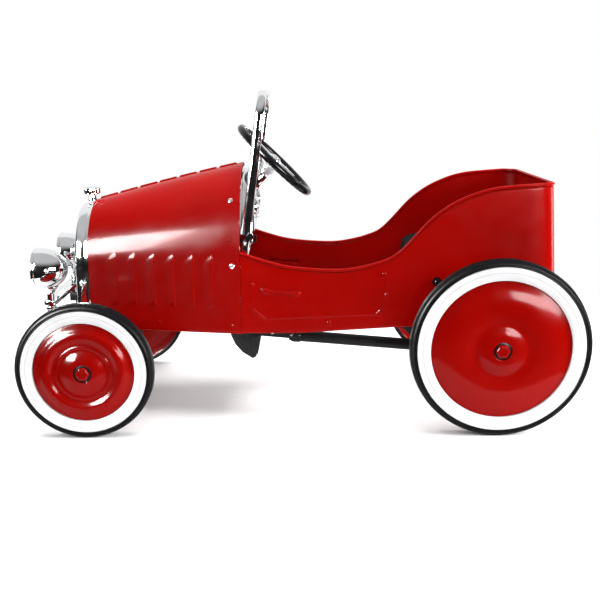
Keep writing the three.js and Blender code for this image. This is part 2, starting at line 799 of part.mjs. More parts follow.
// The rod runs from the pedal arm to the crank pin: a flat eye, a tube and a bearing block.
function pushRod(side, crankPinZ) {
  const endX = REAR_WHEEL.x;
  const slope = (crankPinZ - ROD_PIN.z) / (endX - ROD_PIN.x);
  const zAt = (x) => ROD_PIN.z + slope * (x - ROD_PIN.x);
  const [e0, e1] = span(side, 67.4, 72.2);
  const eye = barY(9, ROD_PIN.x, ROD_PIN.z, e0, e1);
  const flat = plateXZ(
    [
      [ROD_PIN.x, zAt(ROD_PIN.x) - 6],
      [-10, zAt(-10) - 6],
      [-10, zAt(-10) + 6],
      [ROD_PIN.x, zAt(ROD_PIN.x) + 6],
    ],
    e0,
    e1,
  );
  const length = 218 / Math.cos(Math.atan(slope));
  const tubeGeometry = new THREE.CylinderGeometry(9.5, 9.5, length, 12, 1);
  tubeGeometry.rotateZ(Math.PI / 2);
  tubeGeometry.rotateY(-Math.atan(slope));
  tubeGeometry.translate(91, side * ROD_PLANE_Y, zAt(91));
  const [t0, t1] = span(side, 67, 73);
  const tail = plateXZ(
    [
      [190, zAt(190) - 7],
      [endX, crankPinZ - 7],
      [endX, crankPinZ + 7],
      [190, zAt(190) + 7],
    ],
    t0,
    t1,
  );
  const block = barY(12, endX, crankPinZ, t0, t1);
  return cut(join(eye, flat, solidOf(tubeGeometry), tail, block), rodEyeBore(side));
}

function rodEyeBore(side) {
  const [y0, y1] = span(side, 60, 80);
  return barY(4.4, ROD_PIN.x, ROD_PIN.z, y0, y1, 12);
}

function crankWeb(y0, y1, pinZ) {
  const { x, radius } = REAR_WHEEL;
  const half = 8;
  const low = Math.min(pinZ, radius);
  const high = Math.max(pinZ, radius);
  return join(
    box(x - half, x + half, y0, y1, low, high),
    barY(half, x, low, y0, y1),
    barY(half, x, high, y0, y1),
  );
}

function crankOuter(side, pinZ) {
  const [a0, a1] = span(side, 75, CAP_OUTER_Y - 14);
  const [w0, w1] = span(side, 75, 81);
  const [p0, p1] = span(side, 73.6, 76);
  return join(
    barY(AXLE_RADIUS, REAR_WHEEL.x, REAR_WHEEL.radius, a0, a1),
    crankWeb(w0, w1, pinZ),
    barY(5, REAR_WHEEL.x, pinZ, p0, p1),
  );
}

function crankCentre(pinZ) {
  const pieces = [barY(AXLE_RADIUS, REAR_WHEEL.x, REAR_WHEEL.radius, -60, 60)];
  for (const [name, side] of SIDES) {
    const [w0, w1] = span(side, 59, 65);
    const [p0, p1] = span(side, 64, 66.4);
    pieces.push(crankWeb(w0, w1, pinZ[name]), barY(5, REAR_WHEEL.x, pinZ[name], p0, p1));
  }
  return join(...pieces);
}

const CRANK_PIN_Z = {
  left: REAR_WHEEL.radius - CRANK_THROW,
  right: REAR_WHEEL.radius + CRANK_THROW,
};

function axleBracket(side) {
  const { x, radius } = REAR_WHEEL;
  const [y0, y1] = span(side, 93.7, 97.7);
  const plate = plateXZ(
    [
      [152, 176],
      [152, 156],
      [178, 132],
      [262, 122],
      [x - 14, 120],
      [x + 14, 120],
      [356, 150],
      [356, 176],
    ],
    y0,
    y1,
  );
  const [b0, b1] = span(side, 86, 97.7);
  const boss = barY(14, x, radius, b0, b1);
  const [h0, h1] = span(side, 80, 120);
  return cut(join(plate, boss), barY(AXLE_RADIUS + 0.4, x, radius, h0, h1));
}

for (const [name, side] of SIDES) {
  piece(`pedal_arm_${name}`, pedalArm(side), BLACK_STEEL);
  piece(`pedal_pad_${name}`, pedalPad(side), BLACK_RUBBER);
  piece(`push_rod_${name}`, pushRod(side, CRANK_PIN_Z[name]), BLACK_STEEL);
  piece(`crank_${name}`, crankOuter(side, CRANK_PIN_Z[name]), ZINC);
  piece(`axle_bracket_${name}`, axleBracket(side), BLACK_STEEL);
}
piece("crank_centre", crankCentre(CRANK_PIN_Z), ZINC);

// ---- Wheels -------------------------------------------------------------------------------

const TYRE_SIDES = 32;
const DISC_SIDES = 24;

// Profiles hold the radius and the distance from the inner side of the tyre.
function tyre(radius, discRadius) {
  const seat = discRadius - 3;
  const full = TYRE_OUTER_Y - TYRE_INNER_Y;
  const flat = (r) => acrossFlats(r, TYRE_SIDES);
  return ring(
    [
      [flat(seat), 3],
      [flat(discRadius + 6), 0],
      [flat(radius - 9), 1],
      [flat(radius - 2.5), 4.5],
      [flat(radius), 8],
      [flat(radius), full - 8],
      [flat(radius - 2.5), full - 3.5],
      [flat(radius - 10), full],
      [flat(discRadius + 2), full],
      [flat(seat), full - 3],
    ],
    TYRE_SIDES,
  );
}

// A pressed disc: hub boss, dome, valley, bulging shoulder and a flange inside the tyre.
function disc(discRadius) {
  const rear = discRadius > 100;
  const edge = discRadius - 3.5;
  const bore = acrossFlats(AXLE_RADIUS + 0.1, DISC_SIDES);
  const back = rear
    ? [[36, 20], [44, 20], [54, 27], [60, 28.6], [76, 28.2], [90, 25], [edge - 2, 19]]
    : [[34, 22.5], [45, 22.5], [51, 26.5], [56, 28.4], [62, 27.6], [69, 23], [edge - 2, 18.5]];
  const front = rear
    ? [[92, 28.6], [76, 31.6], [58, 31.8], [48, 27], [42, 23.5], [36, 24.5], [20, 28.5]]
    : [[68, 28.6], [62, 31], [56, 31.6], [50, 29], [45, 26], [36, 26.5], [20, 29]];
  return ring(
    [
      [bore, 3],
      [12, 3],
      [12, 18],
      ...back,
      [edge - 2, 3],
      [edge, 3],
      [edge, 22.5],
      ...front,
      [13, 29.5],
      [13, 24.5],
      [bore, 24.5],
    ],
    DISC_SIDES,
  );
}

function hubCap() {
  return turned(
    [
      [0, 21.3],
      [5, 21.3],
      [5, 24.8],
      [12, 24.8],
      [12, 32],
      [9, CAP_OUTER_Y - TYRE_INNER_Y],
      [0, CAP_OUTER_Y - TYRE_INNER_Y],
    ],
    12,
  );
}

for (const [end, wheel] of [
  ["front", FRONT_WHEEL],
  ["rear", REAR_WHEEL],
]) {
  for (const [name, side] of SIDES) {
    const group = new THREE.Group();
    group.position.set(wheel.x, side * TYRE_INNER_Y, wheel.radius);
    if (side < 0) group.rotation.z = Math.PI;
    car.add(group);
    piece(`tyre_${end}_${name}`, tyre(wheel.radius, wheel.discRadius), BLACK_RUBBER, group);
    piece(`disc_${end}_${name}`, disc(wheel.discRadius), RED, group);
    piece(`hub_cap_${end}_${name}`, hubCap(), RED, group);
  }
}

export default car;
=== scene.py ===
"""The look of the pedal car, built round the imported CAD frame.

Lengths are millimetres in the row frame: +Z up, -X to the front, -Y to the camera's side. Each mesh
is scaled to metres as it is made, and each piece rides on its CAD body. Only the floor, the lights
and the camera are placed in metres."""

from math import acos, asin, atan2, cos, exp, floor, hypot, pi, radians, sin, sqrt, tan, tau

import bmesh
import bpy
from mathutils import Matrix, Vector


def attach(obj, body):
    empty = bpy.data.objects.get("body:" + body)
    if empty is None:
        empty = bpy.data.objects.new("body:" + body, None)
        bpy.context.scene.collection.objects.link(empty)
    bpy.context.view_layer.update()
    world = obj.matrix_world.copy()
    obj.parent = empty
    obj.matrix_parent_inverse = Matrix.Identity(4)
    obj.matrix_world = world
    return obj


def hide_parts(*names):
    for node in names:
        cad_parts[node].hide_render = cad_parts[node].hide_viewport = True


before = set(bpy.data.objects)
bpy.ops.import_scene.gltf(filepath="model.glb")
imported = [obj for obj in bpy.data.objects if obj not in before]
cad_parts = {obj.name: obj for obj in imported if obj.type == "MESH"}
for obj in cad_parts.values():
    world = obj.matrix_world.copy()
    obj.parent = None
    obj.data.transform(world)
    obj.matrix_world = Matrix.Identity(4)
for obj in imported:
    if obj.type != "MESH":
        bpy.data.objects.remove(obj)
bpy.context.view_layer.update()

MM = 0.001
SIDES = (("left", -1), ("right", 1))

# ---- Points and curves ----


def smoothstep(low, high, value):
    t = min(max((value - low) / (high - low), 0.0), 1.0)
    return t * t * (3 - 2 * t)


def lerp(points, x):
    """The straight line through (x, z) points, read at x."""
    for (x0, z0), (x1, z1) in zip(points, points[1:]):
        if x <= x1:
            return z0 + (z1 - z0) * (x - x0) / (x1 - x0)
    return points[-1][1]


def spline(points, steps=6, closed=False):
    """A smooth curve through points of any dimension."""
    pts = [Vector(p) for p in points]
    n = len(pts)
    out = []
    for i in range(n if closed else n - 1):
        p1, p2 = pts[i], pts[(i + 1) % n]
        p0 = pts[i - 1] if closed or i > 0 else p1 * 2 - p2
        p3 = pts[(i + 2) % n] if closed or i + 2 < n else p2 * 2 - p1
        for k in range(steps):
            t = k / steps
            curve = p1 * 2 + (p2 - p0) * t + (p0 * 2 - p1 * 5 + p2 * 4 - p3) * t * t
            out.append(0.5 * (curve + (p1 * 3 - p0 - p2 * 3 + p3) * t**3))
    if not closed:
        out.append(pts[-1])
    return [tuple(p) for p in out]


def turns(count):
    """Angles at even steps round a circle."""
    return [tau * i / count for i in range(count)]


def polar(radius, angle):
    return radius * cos(angle), radius * sin(angle)


def circle(radius, count=16):
    return [polar(radius, a) for a in turns(count)]


def rectangle(x0, y0, x1, y1):
    return [(x0, y0), (x1, y0), (x1, y1), (x0, y1)]


def rounded(points, radius, steps=4, closed=True):
    """A polygon or polyline with rounded corners. A point's third number is its own radius."""
    out, n = [], len(points)
    for i, p in enumerate(points):
        here, r = Vector(p[:2]), (p[2] if len(p) > 2 else radius)
        if not closed and i in (0, n - 1):
            out.append(tuple(here))
            continue
        u, v = Vector(points[i - 1][:2]) - here, Vector(points[(i + 1) % n][:2]) - here
        half = u.angle(v) / 2
        if half > 1.5:
            out.append(tuple(here))
            continue
        cut = min(r / tan(half), u.length * 0.48, v.length * 0.48)
        u.normalize()
        v.normalize()
        centre = here + (u + v).normalized() * (cut / cos(half))
        start, end = here + u * cut - centre, here + v * cut - centre
        a0 = atan2(start.y, start.x)
        turn = (atan2(end.y, end.x) - a0 + pi) % tau - pi
        for k in range(steps + 1):
            x, y = polar(start.length, a0 + turn * k / steps)
            out.append((centre.x + x, centre.y + y))
    return out


def axes(origin, z_axis, x_axis=(1, 0, 0)):
    """A matrix whose Z looks along z_axis and whose X is as near x_axis as it can be."""
    z = Vector(z_axis).normalized()
    x = Vector(x_axis)
    x = (x - z * x.dot(z)).normalized()
    matrix = Matrix((x, z.cross(x), z)).transposed().to_4x4()
    matrix.translation = Vector(origin)
    return matrix


# ---- Surfaces ----


def loft(rings, closed=True, caps=True):
    """Faces between rings of the same number of points."""
    n = len(rings[0])
    verts = [tuple(p) for ring in rings for p in ring]
    faces = []
    for i in range(len(rings) - 1):
        for j in range(n if closed else n - 1):
            k = (j + 1) % n
            faces.append((i * n + j, i * n + k, (i + 1) * n + k, (i + 1) * n + j))
    if caps:
        faces.append(tuple(reversed(range(n))))
        faces.append(tuple((len(rings) - 1) * n + j for j in range(n)))
    return verts, faces


def open_sheet(columns):
    return loft(columns, closed=False, caps=False)


def closed_band(rings):
    """A surface whose last ring meets its first."""
    return loft(rings + rings[:1], caps=False)


def lathe(profile, segments=64):
    """Turns (radius, height) points round Z."""
    return closed_band([[(x, y, h) for x, y in circle(r, segments)] for r, h in profile])


def sweep(path, section, normal=None, closed=False):
    """Carries a section along a path. Its first number lies along normal, or along a frame
    that turns as little as it can."""
    pts = [Vector(p) for p in path]
    n = len(pts)
    rings, side = [], None
    for i, p in enumerate(pts):
        before = pts[i - 1] if closed or i else p
        after = pts[(i + 1) % n] if closed or i + 1 < n else p
        t = (after - before).normalized()
        if normal:
            side = Vector(normal)
        elif side is None:
            side = t.orthogonal()
        side = (side - t * side.dot(t)).normalized()
        up = t.cross(side)
        scale = 1.0
        if closed or 0 < i < n - 1:
            scale = 1 / max(cos((p - before).angle(after - p, 0.0) / 2), 0.5)
        rings.append([p + side * s + up * (u * scale) for s, u in section])
    return closed_band(rings) if closed else loft(rings)


def slab(outline, low, high):
    """A flat plate from its outline in XY, between two heights."""
    return loft([[(x, y, z) for x, y in outline] for z in (low, high)])


def rod(low, high, radius, edge=0.8):
    """A round bar along Z with chamfered ends."""
    return lathe([(0, low), (radius - edge, low), (radius, low + edge), (radius, high - edge),
        (radius - edge, high), (0, high)], 32)


def merge(*parts):
    verts, faces = [], []
    for v, f in parts:
        base = len(verts)
        verts += v
        faces += [tuple(i + base for i in face) for face in f]
    return verts, faces


def moved(part, matrix):
    verts, faces = part
    return [tuple(matrix @ Vector(v)) for v in verts], faces


def turned_over(part):
    return part[0], [tuple(reversed(f)) for f in part[1]]


# ---- Meshes and pieces ----


def raw_mesh(name, part):
    mesh = bpy.data.meshes.new(name)
    mesh.from_pydata([Vector(v) * MM for v in part[0]], [], part[1])
    return mesh


def finished_mesh(name, part, material, sharp=40, bevel=0.0, recalc=True):
    """A mesh from (points, faces), smooth except at its sharp edges."""
    mesh = raw_mesh(name, part)
    bm = bmesh.new()
    bm.from_mesh(mesh)
    bmesh.ops.remove_doubles(bm, verts=bm.verts, dist=2e-6)
    if recalc:
        bmesh.ops.recalc_face_normals(bm, faces=bm.faces)
    if bevel:
        edges = [e for e in bm.edges if len(e.link_faces) == 2 and e.calc_face_angle() > 0.6]
        bmesh.ops.bevel(bm, geom=edges, offset=bevel * MM, segments=2, profile=0.6, affect="EDGES",
            clamp_overlap=True)
    bm.to_mesh(mesh)
    bm.free()
    mesh.shade_smooth()
    mesh.set_sharp_from_angle(angle=radians(sharp))
    mesh.materials.append(material)
    return mesh


def add_object(name, data):
    obj = bpy.data.objects.new(name, data)
    bpy.context.scene.collection.objects.link(obj)
    return obj


def thicken(obj, wall):
    """Gives an open sheet its wall, with crisp rims."""
    mesh = obj.data
    used = [0] * len(mesh.edges)
    for loop in mesh.loops:
        used[loop.edge_index] += 1
    for edge in mesh.edges:
        if used[edge.index] == 1:
            edge.use_edge_sharp = True
    modifier = obj.modifiers.new("wall", "SOLIDIFY")
    modifier.thickness = wall * MM
    modifier.offset = -1


def piece(name, part, material, replaces=None, body="chassis", at=None, wall=0.0, slotted=True, **finish):
    """Makes one object from (points, faces). It gets its material and rides on a body."""
    if at is not None:
        part = moved(part, at)
    obj = add_object(name, finished_mesh(name, part, material, **finish))
    if wall:
        thicken(obj, wall)
    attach(obj, body)
    if replaces:
        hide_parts(replaces)
    return obj


# ---- Materials ----


class Surface:
    """A Principled material with noise, ramps and bumps wired to it."""

    def __init__(self, name, colour, roughness, metallic=0.0, **sockets):
        self.material = bpy.data.materials.new(name)
        self.material.use_nodes = True
        self.tree = self.material.node_tree
        self.wire = self.tree.links.new
        self.shader = self.tree.nodes["Principled BSDF"]
        sockets |= {"Base_Color": (*colour, 1), "Roughness": roughness, "Metallic": metallic}
        for key, value in sockets.items():
            self.shader.inputs[key.replace("_", " ")].default_value = value
        self.coords = self.tree.nodes.new("ShaderNodeTexCoord").outputs["Object"]

    def link(self, source, socket):
        self.wire(source, self.shader.inputs[socket])

    def node(self, kind, **values):
        made = self.tree.nodes.new(kind)
        for key, value in values.items():
            made.inputs[key].default_value = value
        return made

    def noise(self, scale, detail, stretch=(1, 1, 1)):
        mapping = self.node("ShaderNodeMapping", Scale=stretch)
        self.wire(self.coords, mapping.inputs["Vector"])
        made = self.node("ShaderNodeTexNoise", Scale=scale, Detail=detail, Roughness=0.55)
        self.wire(mapping.outputs["Vector"], made.inputs["Vector"])
        return made.outputs["Fac"]

    def cells(self, scale):
        made = self.node("ShaderNodeTexVoronoi", Scale=scale)
        self.wire(self.coords, made.inputs["Vector"])
        return made.outputs["Distance"]

    def ramp(self, source, *stops):
        made = self.tree.nodes.new("ShaderNodeValToRGB")
        line = made.color_ramp
        while len(line.elements) < len(stops):
            line.elements.new(0.5)
        for element, (place, value) in zip(line.elements, stops):
            element.position = place
            value = value if isinstance(value, tuple) else (value, value, value)
            element.color = (*value, 1)
        self.wire(source, made.inputs["Fac"])
        return made.outputs["Color"]

    def pointed(self, *stops):
        """A ramp over how far a surface bulges out, from creases to edges."""
        return self.ramp(self.tree.nodes.new("ShaderNodeNewGeometry").outputs["Pointiness"], *stops)

    def patches(self, scale, detail, low, high, stretch=(1, 1, 1)):
        return self.ramp(self.noise(scale, detail, stretch), low, high)

    def vary(self, socket, *patches):
        self.link(self.patches(*patches), socket)

    def mix(self, mode, factor, a, b):
        made = self.tree.nodes.new("ShaderNodeMix")
        made.data_type = "RGBA"
        made.blend_type = mode
        for key, value in ((0, factor), (6, a), (7, b)):
            if hasattr(value, "is_output"):
                self.wire(value, made.inputs[key])
            else:
                made.inputs[key].default_value = value
        return made.outputs[2]

    def bump(self, height, strength, distance, after=None):
        made = self.node("ShaderNodeBump", Strength=strength, Distance=distance * MM)
        self.wire(height, made.inputs["Height"])
        if after is not None:
            self.wire(after, made.inputs["Normal"])
        self.link(made.outputs["Normal"], "Normal")
        return made.outputs["Normal"]


def enamel(name, dark, light, roughness, coat, coat_roughness, shine):
    s = Surface(name, light, roughness, Specular_IOR_Level=shine, Coat_Weight=coat,
        Coat_Roughness=coat_roughness, Coat_IOR=1.45)
    fine = s.patches(420, 2, (0.35, 0.94), (0.65, 1.0))
    tone = s.mix("MULTIPLY", 1.0, s.patches(7, 3, (0.3, dark), (0.7, light)), fine)
    # Painted shade: the paint is darker in creases and hollows.
    tone = s.mix("MULTIPLY", 0.8, tone, s.pointed((0.44, 0.55), (0.495, 1.0)))
    # Painted highlight: sharp outer edges get a lighter copy of the paint.
    edge_highlight = tuple(min(c * 1.35 + 0.015, 1) for c in light)
    s.link(s.mix("MIX", s.pointed((0.56, 0.0), (0.85, 0.3)), tone, (*edge_highlight, 1)), "Base Color")
    s.vary("Roughness", 30, 4, (0.3, roughness - 0.04), (0.7, roughness + 0.06))
    s.bump(s.noise(650, 2), 0.06, 0.08, s.bump(s.noise(22, 2), 0.03, 1.0))
    return s.material


def bright_metal(name, colour, low, high, grain=(1, 1, 1), scale=60, tint=0.9):
    s = Surface(name, colour, low, 1.0)
    s.vary("Base Color", 24, 4, (0.35, colour), (0.75, tuple(c * tint for c in colour)))
    s.vary("Roughness", scale, 4, (0.35, low), (0.75, high), grain)
    s.bump(s.noise(scale * 3, 2, grain), 0.04, 0.05, s.bump(s.noise(30, 2), 0.02, 0.6))
    return s.material


def rubber(name, dark, light, low, high, grain, strength, shine=0.4):
    s = Surface(name, light, low, Specular_IOR_Level=shine)
    tone = s.patches(26, 5, (0.35, dark), (0.7, light))
    # Painted shade: the rubber is darker in creases and grooves.
    s.link(s.mix("MULTIPLY", 1.0, tone, s.pointed((0.46, 0.75), (0.5, 1.0))), "Base Color")
    s.vary("Roughness", 45, 4, (0.35, low), (0.7, high))
    s.bump(s.noise(grain, 3), strength, 0.12)
    return s.material


def leatherette():
    s = Surface("black_leatherette", (0.004, 0.004, 0.0045), 0.5, Specular_IOR_Level=0.02)
    s.vary("Base Color", 35, 5, (0.3, (0.003, 0.003, 0.0034)), (0.7, (0.008, 0.008, 0.0085)))
    s.vary("Roughness", 60, 4, (0.3, 0.5), (0.7, 0.66))
    s.bump(s.cells(1100), 0.35, 0.2, s.bump(s.noise(160, 4), 0.2, 0.5))
    return s.material


def lens_glass():
    s = Surface("lens_glass", (0.97, 0.98, 0.99), 0.03, Transmission_Weight=1.0, IOR=1.45)
    s.vary("Roughness", 90, 3, (0.4, 0.01), (0.8, 0.06))
    s.bump(s.noise(300, 2), 0.05, 0.1)
    return s.material


def glazed(name, colour, roughness, coat, scale, detail, dark, light):
    """A smooth coated surface, of the lamp bulbs and the dials."""
    s = Surface(name, colour, roughness, Coat_Weight=coat)
    s.vary("Base Color", scale, detail, (0.3, dark), (0.7, light))
    return s.material


JET, COAL = (0.003, 0.003, 0.0035), (0.006, 0.006, 0.007)
RED = enamel("red_enamel", (0.25, 0.0010, 0.0003), (0.30, 0.0014, 0.0004), 0.20, 0.03, 0.05, 0.045)
WHEEL_RED = enamel("wheel_enamel", (0.198, 0.0008, 0.00025), (0.238, 0.0011, 0.0003), 0.15, 0.07, 0.05,
    0.05)
BLACK = enamel("black_enamel", JET, (0.006, 0.006, 0.0065), 0.3, 0.08, 0.15, 0.1)
CHROME = bright_metal("chrome", (0.90, 0.91, 0.92), 0.035, 0.10)
PLATE = bright_metal("dash_metal", (0.86, 0.86, 0.86), 0.09, 0.2, (1, 0.2, 1), 120)
ZINC = bright_metal("zinc_plate", (0.62, 0.63, 0.64), 0.22, 0.42, scale=90, tint=0.75)
GRILLE = bright_metal("grille_metal", (0.7, 0.71, 0.72), 0.12, 0.28)
TYRE = rubber("black_rubber", JET, COAL, 0.3, 0.42, 900, 0.12, 0.06)
GRIP = rubber("grip_black", JET, COAL, 0.16, 0.26, 500, 0.06, 0.16)
WHITE = rubber("white_rubber", (0.55, 0.55, 0.56), (0.62, 0.62, 0.625), 0.42, 0.55, 700, 0.1)
PEDAL = rubber("pedal_rubber", (0.005, 0.005, 0.0055), (0.011, 0.011, 0.012), 0.5, 0.7, 380, 0.6, 0.1)
GREY = rubber("grey_plastic", (0.42, 0.42, 0.43), (0.52, 0.52, 0.53), 0.3, 0.42, 600, 0.1)
SEAT = leatherette()
LENS = lens_glass()
BULB = glazed("bulb_glass", (0.93, 0.90, 0.80), 0.15, 0.6, 200, 3, (0.90, 0.87, 0.76), (0.96, 0.94, 0.86))
DIAL = glazed("dial_face", (0.82, 0.80, 0.72), 0.45, 0.5, 150, 4, (0.74, 0.72, 0.63), (0.84, 0.82, 0.75))

# ---- Hood ----

HOOD_X0, HOOD_X1 = -342.5, -97.0
BODY_BOTTOM = 148.0
LOUVRES = {"first": -312.5, "pitch": 31.2, "length": 16.0, "count": 6, "low": 187, "high": 263}
BEADS = {"first": -336, "pitch": 33.3, "length": 28.5, "count": 7}


def hood_share(x):
    return (x - HOOD_X0) / (HOOD_X1 - HOOD_X0)


def hood_apex(x):
    t = hood_share(x)
    return 345.5 + 60.5 * t + 2.2 * sin(pi * t)


def hood_radius(x):
    return 90.3 + 41.5 * hood_share(x)


def louvre_rise(x, z):
    """A pressed louvre swells towards its rear edge and drops there; its top end slants."""
    i = floor((x - LOUVRES["first"]) / LOUVRES["pitch"])
    if not 0 <= i < LOUVRES["count"]:
        return 0.0
    t = (x - LOUVRES["first"] - i * LOUVRES["pitch"]) / LOUVRES["length"]
    if t > 1.1:
        return 0.0
    top = LOUVRES["high"] + 11 * min(t, 1)
    ends = smoothstep(0, 8, z - LOUVRES["low"]) * smoothstep(0, 7, top - z)
    swell = sin(pi / 2 * min(t, 1)) ** 1.6
    drop = 1 - smoothstep(1.0, 1.1, t)
    return 1.3 * swell * drop * ends


def bead_rise(x, across):
    i = floor((x - BEADS["first"]) / BEADS["pitch"])
    if not 0 <= i < BEADS["count"]:
        return 0.0
    along = x - BEADS["first"] - i * BEADS["pitch"]
    flank = 1 - smoothstep(2.2, 3.5, abs(across))
    ends = smoothstep(0.0, 1.1, along) * (1 - smoothstep(BEADS["length"] - 1.1, BEADS["length"], along))
    return 2.3 * flank * ends


def hood_columns():
    xs = [HOOD_X0 + 0.2, HOOD_X0 + 1, HOOD_X0 + 3]
    x = HOOD_X0 + 5
    while x < HOOD_X1 - 1:
        xs.append(x)
        i = (x - LOUVRES["first"]) / LOUVRES["pitch"]
        t = (i - floor(i)) * LOUVRES["pitch"] / LOUVRES["length"]
        bead = (x - BEADS["first"]) % BEADS["pitch"]
        near_bead = bead < 1.4 or abs(bead - BEADS["length"]) < 1.5
        near_drop = 0 <= i < LOUVRES["count"] and 0.92 < t < 1.14
        x += 0.55 if near_drop or near_bead else 1.7
    return xs + [HOOD_X1 - 0.5, HOOD_X1]


def hood_stations():
    """Places round the arch: ("foot", inset, rise), ("wall", Z), ("share", of the wall's upper
    part) or ("arch", angle)."""
    foot = [("foot", *p) for p in [(14, 0), (8, 0), (3, 0), (1.2, 0.3), (0.3, 1.2), (0, 3)]]
    wall = [("wall", z) for z in (156, 166, 176, 183)]
    wall += [("wall", 185 + 1.5 * k) for k in range(44)]
    wall += [("share", k / 6) for k in range(7)]
    arch = [1 + 0.9 * k for k in range(16)] + [16 + 2.6 * k for k in range(27)]
    arch += [86.6 + 0.28 * k for k in range(12)]
    return foot + wall + [("arch", a) for a in arch]


def hood():
    columns = []
    for x in hood_columns():
        apex, r = hood_apex(x), hood_radius(x)
        spring = apex - r
        row = []
        for kind, *value in hood_stations():
            y, n = r, (1, 0)
            if kind == "foot":
                y, z, n = r - value[0], BODY_BOTTOM + value[1], (0, 0)
            elif kind == "wall":
                z = min(value[0], spring - 3)
            elif kind == "share":
                z = 250.5 + (spring - 250.5) * value[0]
            else:
                n = polar(1, radians(value[0]))
                y, z = r * n[0], spring + r * n[1]
            rise = louvre_rise(x, z) + bead_rise(x, y)
            row.append((x, -(y + n[0] * rise), z + n[1] * rise))
        middle = (x, 0.0, apex + bead_rise(x, 0))
        columns.append(row + [middle] + [(x, -y, z) for x, y, z in reversed(row)])
    return open_sheet(columns)


PRESSED = {"sharp": 50, "wall": 1.2, "recalc": False}
piece("hood_panel", hood(), RED, "hood", **PRESSED)

# ---- Tub ----

TUB_Y = 132.0
COCKPIT = spline([(-96.5, 279.5), (-66, 269), (-35, 260), (-4, 255), (38, 252), (69, 252.5), (100, 258),
    (121, 264), (142, 273), (162, 291), (188, 320), (205, 336), (226, 351), (247, 362), (273, 372),
    (300, 378), (332, 381), (366, 383.4)], 5)
TUB_BOTTOM = [(-96.5, 148), (-4, 148), (152, 157), (366, 161)]
DOOR = [(-77, 238), (-77, 187), (-59, 172), (117, 179), (131.5, 195), (131.5, 243)]
DOOR_PRESS = (0.35, 1.6, 0.7, 1.6, 0.35)  # how far each stretch of the door's line stands out
DOOR_LINE = 1.35  # about half the width of that line
HANDLE = ((-60, 217), (-8, 212.5))


def segment_distance(p, a, b):
    p, a, b = Vector(p), Vector(a), Vector(b)
    t = min(max((p - a).dot(b - a) / (b - a).length_squared, 0), 1)
    return (p - a - (b - a) * t).length, t


def door_rise(x, z):
    """The pressed outline of the door, which fades out towards its top, and its handle."""
    rise = 0.0
    if -84 < x < 138 and 165 < z < 250:
        stretches = [(segment_distance((x, z), a, b)[0], press) for a, b, press in zip(DOOR, DOOR[1:],
            DOOR_PRESS)]
        near, press = min(stretches, key=lambda stretch: stretch[0])
        rise = press * (1 - smoothstep(226, 243, z)) * exp(-((near / DOOR_LINE) ** 2))
    d, t = segment_distance((x, z), *HANDLE)
    if d < 12:
        half = 2.6 + 3.2 * (smoothstep(0.3, 0.0, t) if t < 0.5 else smoothstep(0.7, 1.0, t))
        rise = max(rise, 2.6 * (1 - smoothstep(half * 0.35, half, d)))
    return rise


def levels(low, high, features, fine, coarse):
    """Numbers from low to high, close together inside the features."""
    out, at = [], low
    while at < high - fine:
        out.append(at)
        inside = any(a <= at <= b for a, b in features)
        step = fine if inside else coarse
        if not inside:
            ahead = [a - at for a, _ in features if a > at]
            step = min([step, *[max(gap, fine) for gap in ahead]])
        at += step
    return out + [high]


HEM_RADIUS = 2.5


def hem(z_top):
    """(outward, Z) points of the rolled edge at the top of a panel, from below it."""
    out = [(0, z_top - 9.5), (-0.1, z_top - 6.8)]
    for k in range(16):
        a = radians(-96 + 21 * k)
        out.append((HEM_RADIUS * cos(a) - 0.7, z_top - HEM_RADIUS + HEM_RADIUS * sin(a)))
    return out


TAIL_SEAM = 348.0


def side_panel(side):
    xs = levels(-96.5, TAIL_SEAM, [(-82, -54), (112, 137)], 1.1, 3.4)
    xs = sorted(set(xs + levels(-68, 0, [(-68, 0)], 1.6, 2)))
    columns = []
    for x in xs:
        bottom, top = lerp(TUB_BOTTOM, x), lerp(COCKPIT, x)
        row = [(-33, bottom), (-20, bottom), (-8, bottom), (-3, bottom), (-1.1, bottom + 0.4),
            (-0.3, bottom + 1.3), (0, bottom + 3.5)]
        start = bottom + 6
        stop = min(243.0, top - 13)
        for z in levels(165, 243, [(168, 185), (204, 223)], 0.9, 2.6):
            if z > 205:
                z = 205 + (z - 205) * (stop - 205) / 38
            row.append((0, max(z, start + (z - 165) * 0.05)))
        for k in range(1, 12):
            row.append((0, stop + (top - 9.5 - stop) * k / 12))
        row += hem(top)
        columns.append([(x, side * (TUB_Y + out + (door_rise(x, z) if out == 0 else 0)), z)
            for out, z in row])
    return open_sheet(columns)


for name, side in SIDES:
    panel = side_panel(side)
    piece(f"side_panel_{name}", turned_over(panel) if side < 0 else panel, RED, f"body_side_{name}",
        **PRESSED)


def tail_path():
    """Points and outward directions along the rear panel's outline, at the top."""
    long, deep, rear = 38.0, 21.0, 388.5
    out = [((TAIL_SEAM, -TUB_Y), (0, -1))]
    for k in range(16):
        a = radians(-90 + 6 * k)
        n = Vector((deep * cos(a), long * sin(a))).normalized()
        out.append(((rear - long + long * cos(a), -TUB_Y + deep + deep * sin(a)), tuple(n)))
    for k in range(1, 30):
        out.append(((rear, (-TUB_Y + deep) * (1 - k / 15)), (1, 0)))
    out += [((x, -y), (nx, -ny)) for (x, y), (nx, ny) in reversed(out[:17])]
    return out


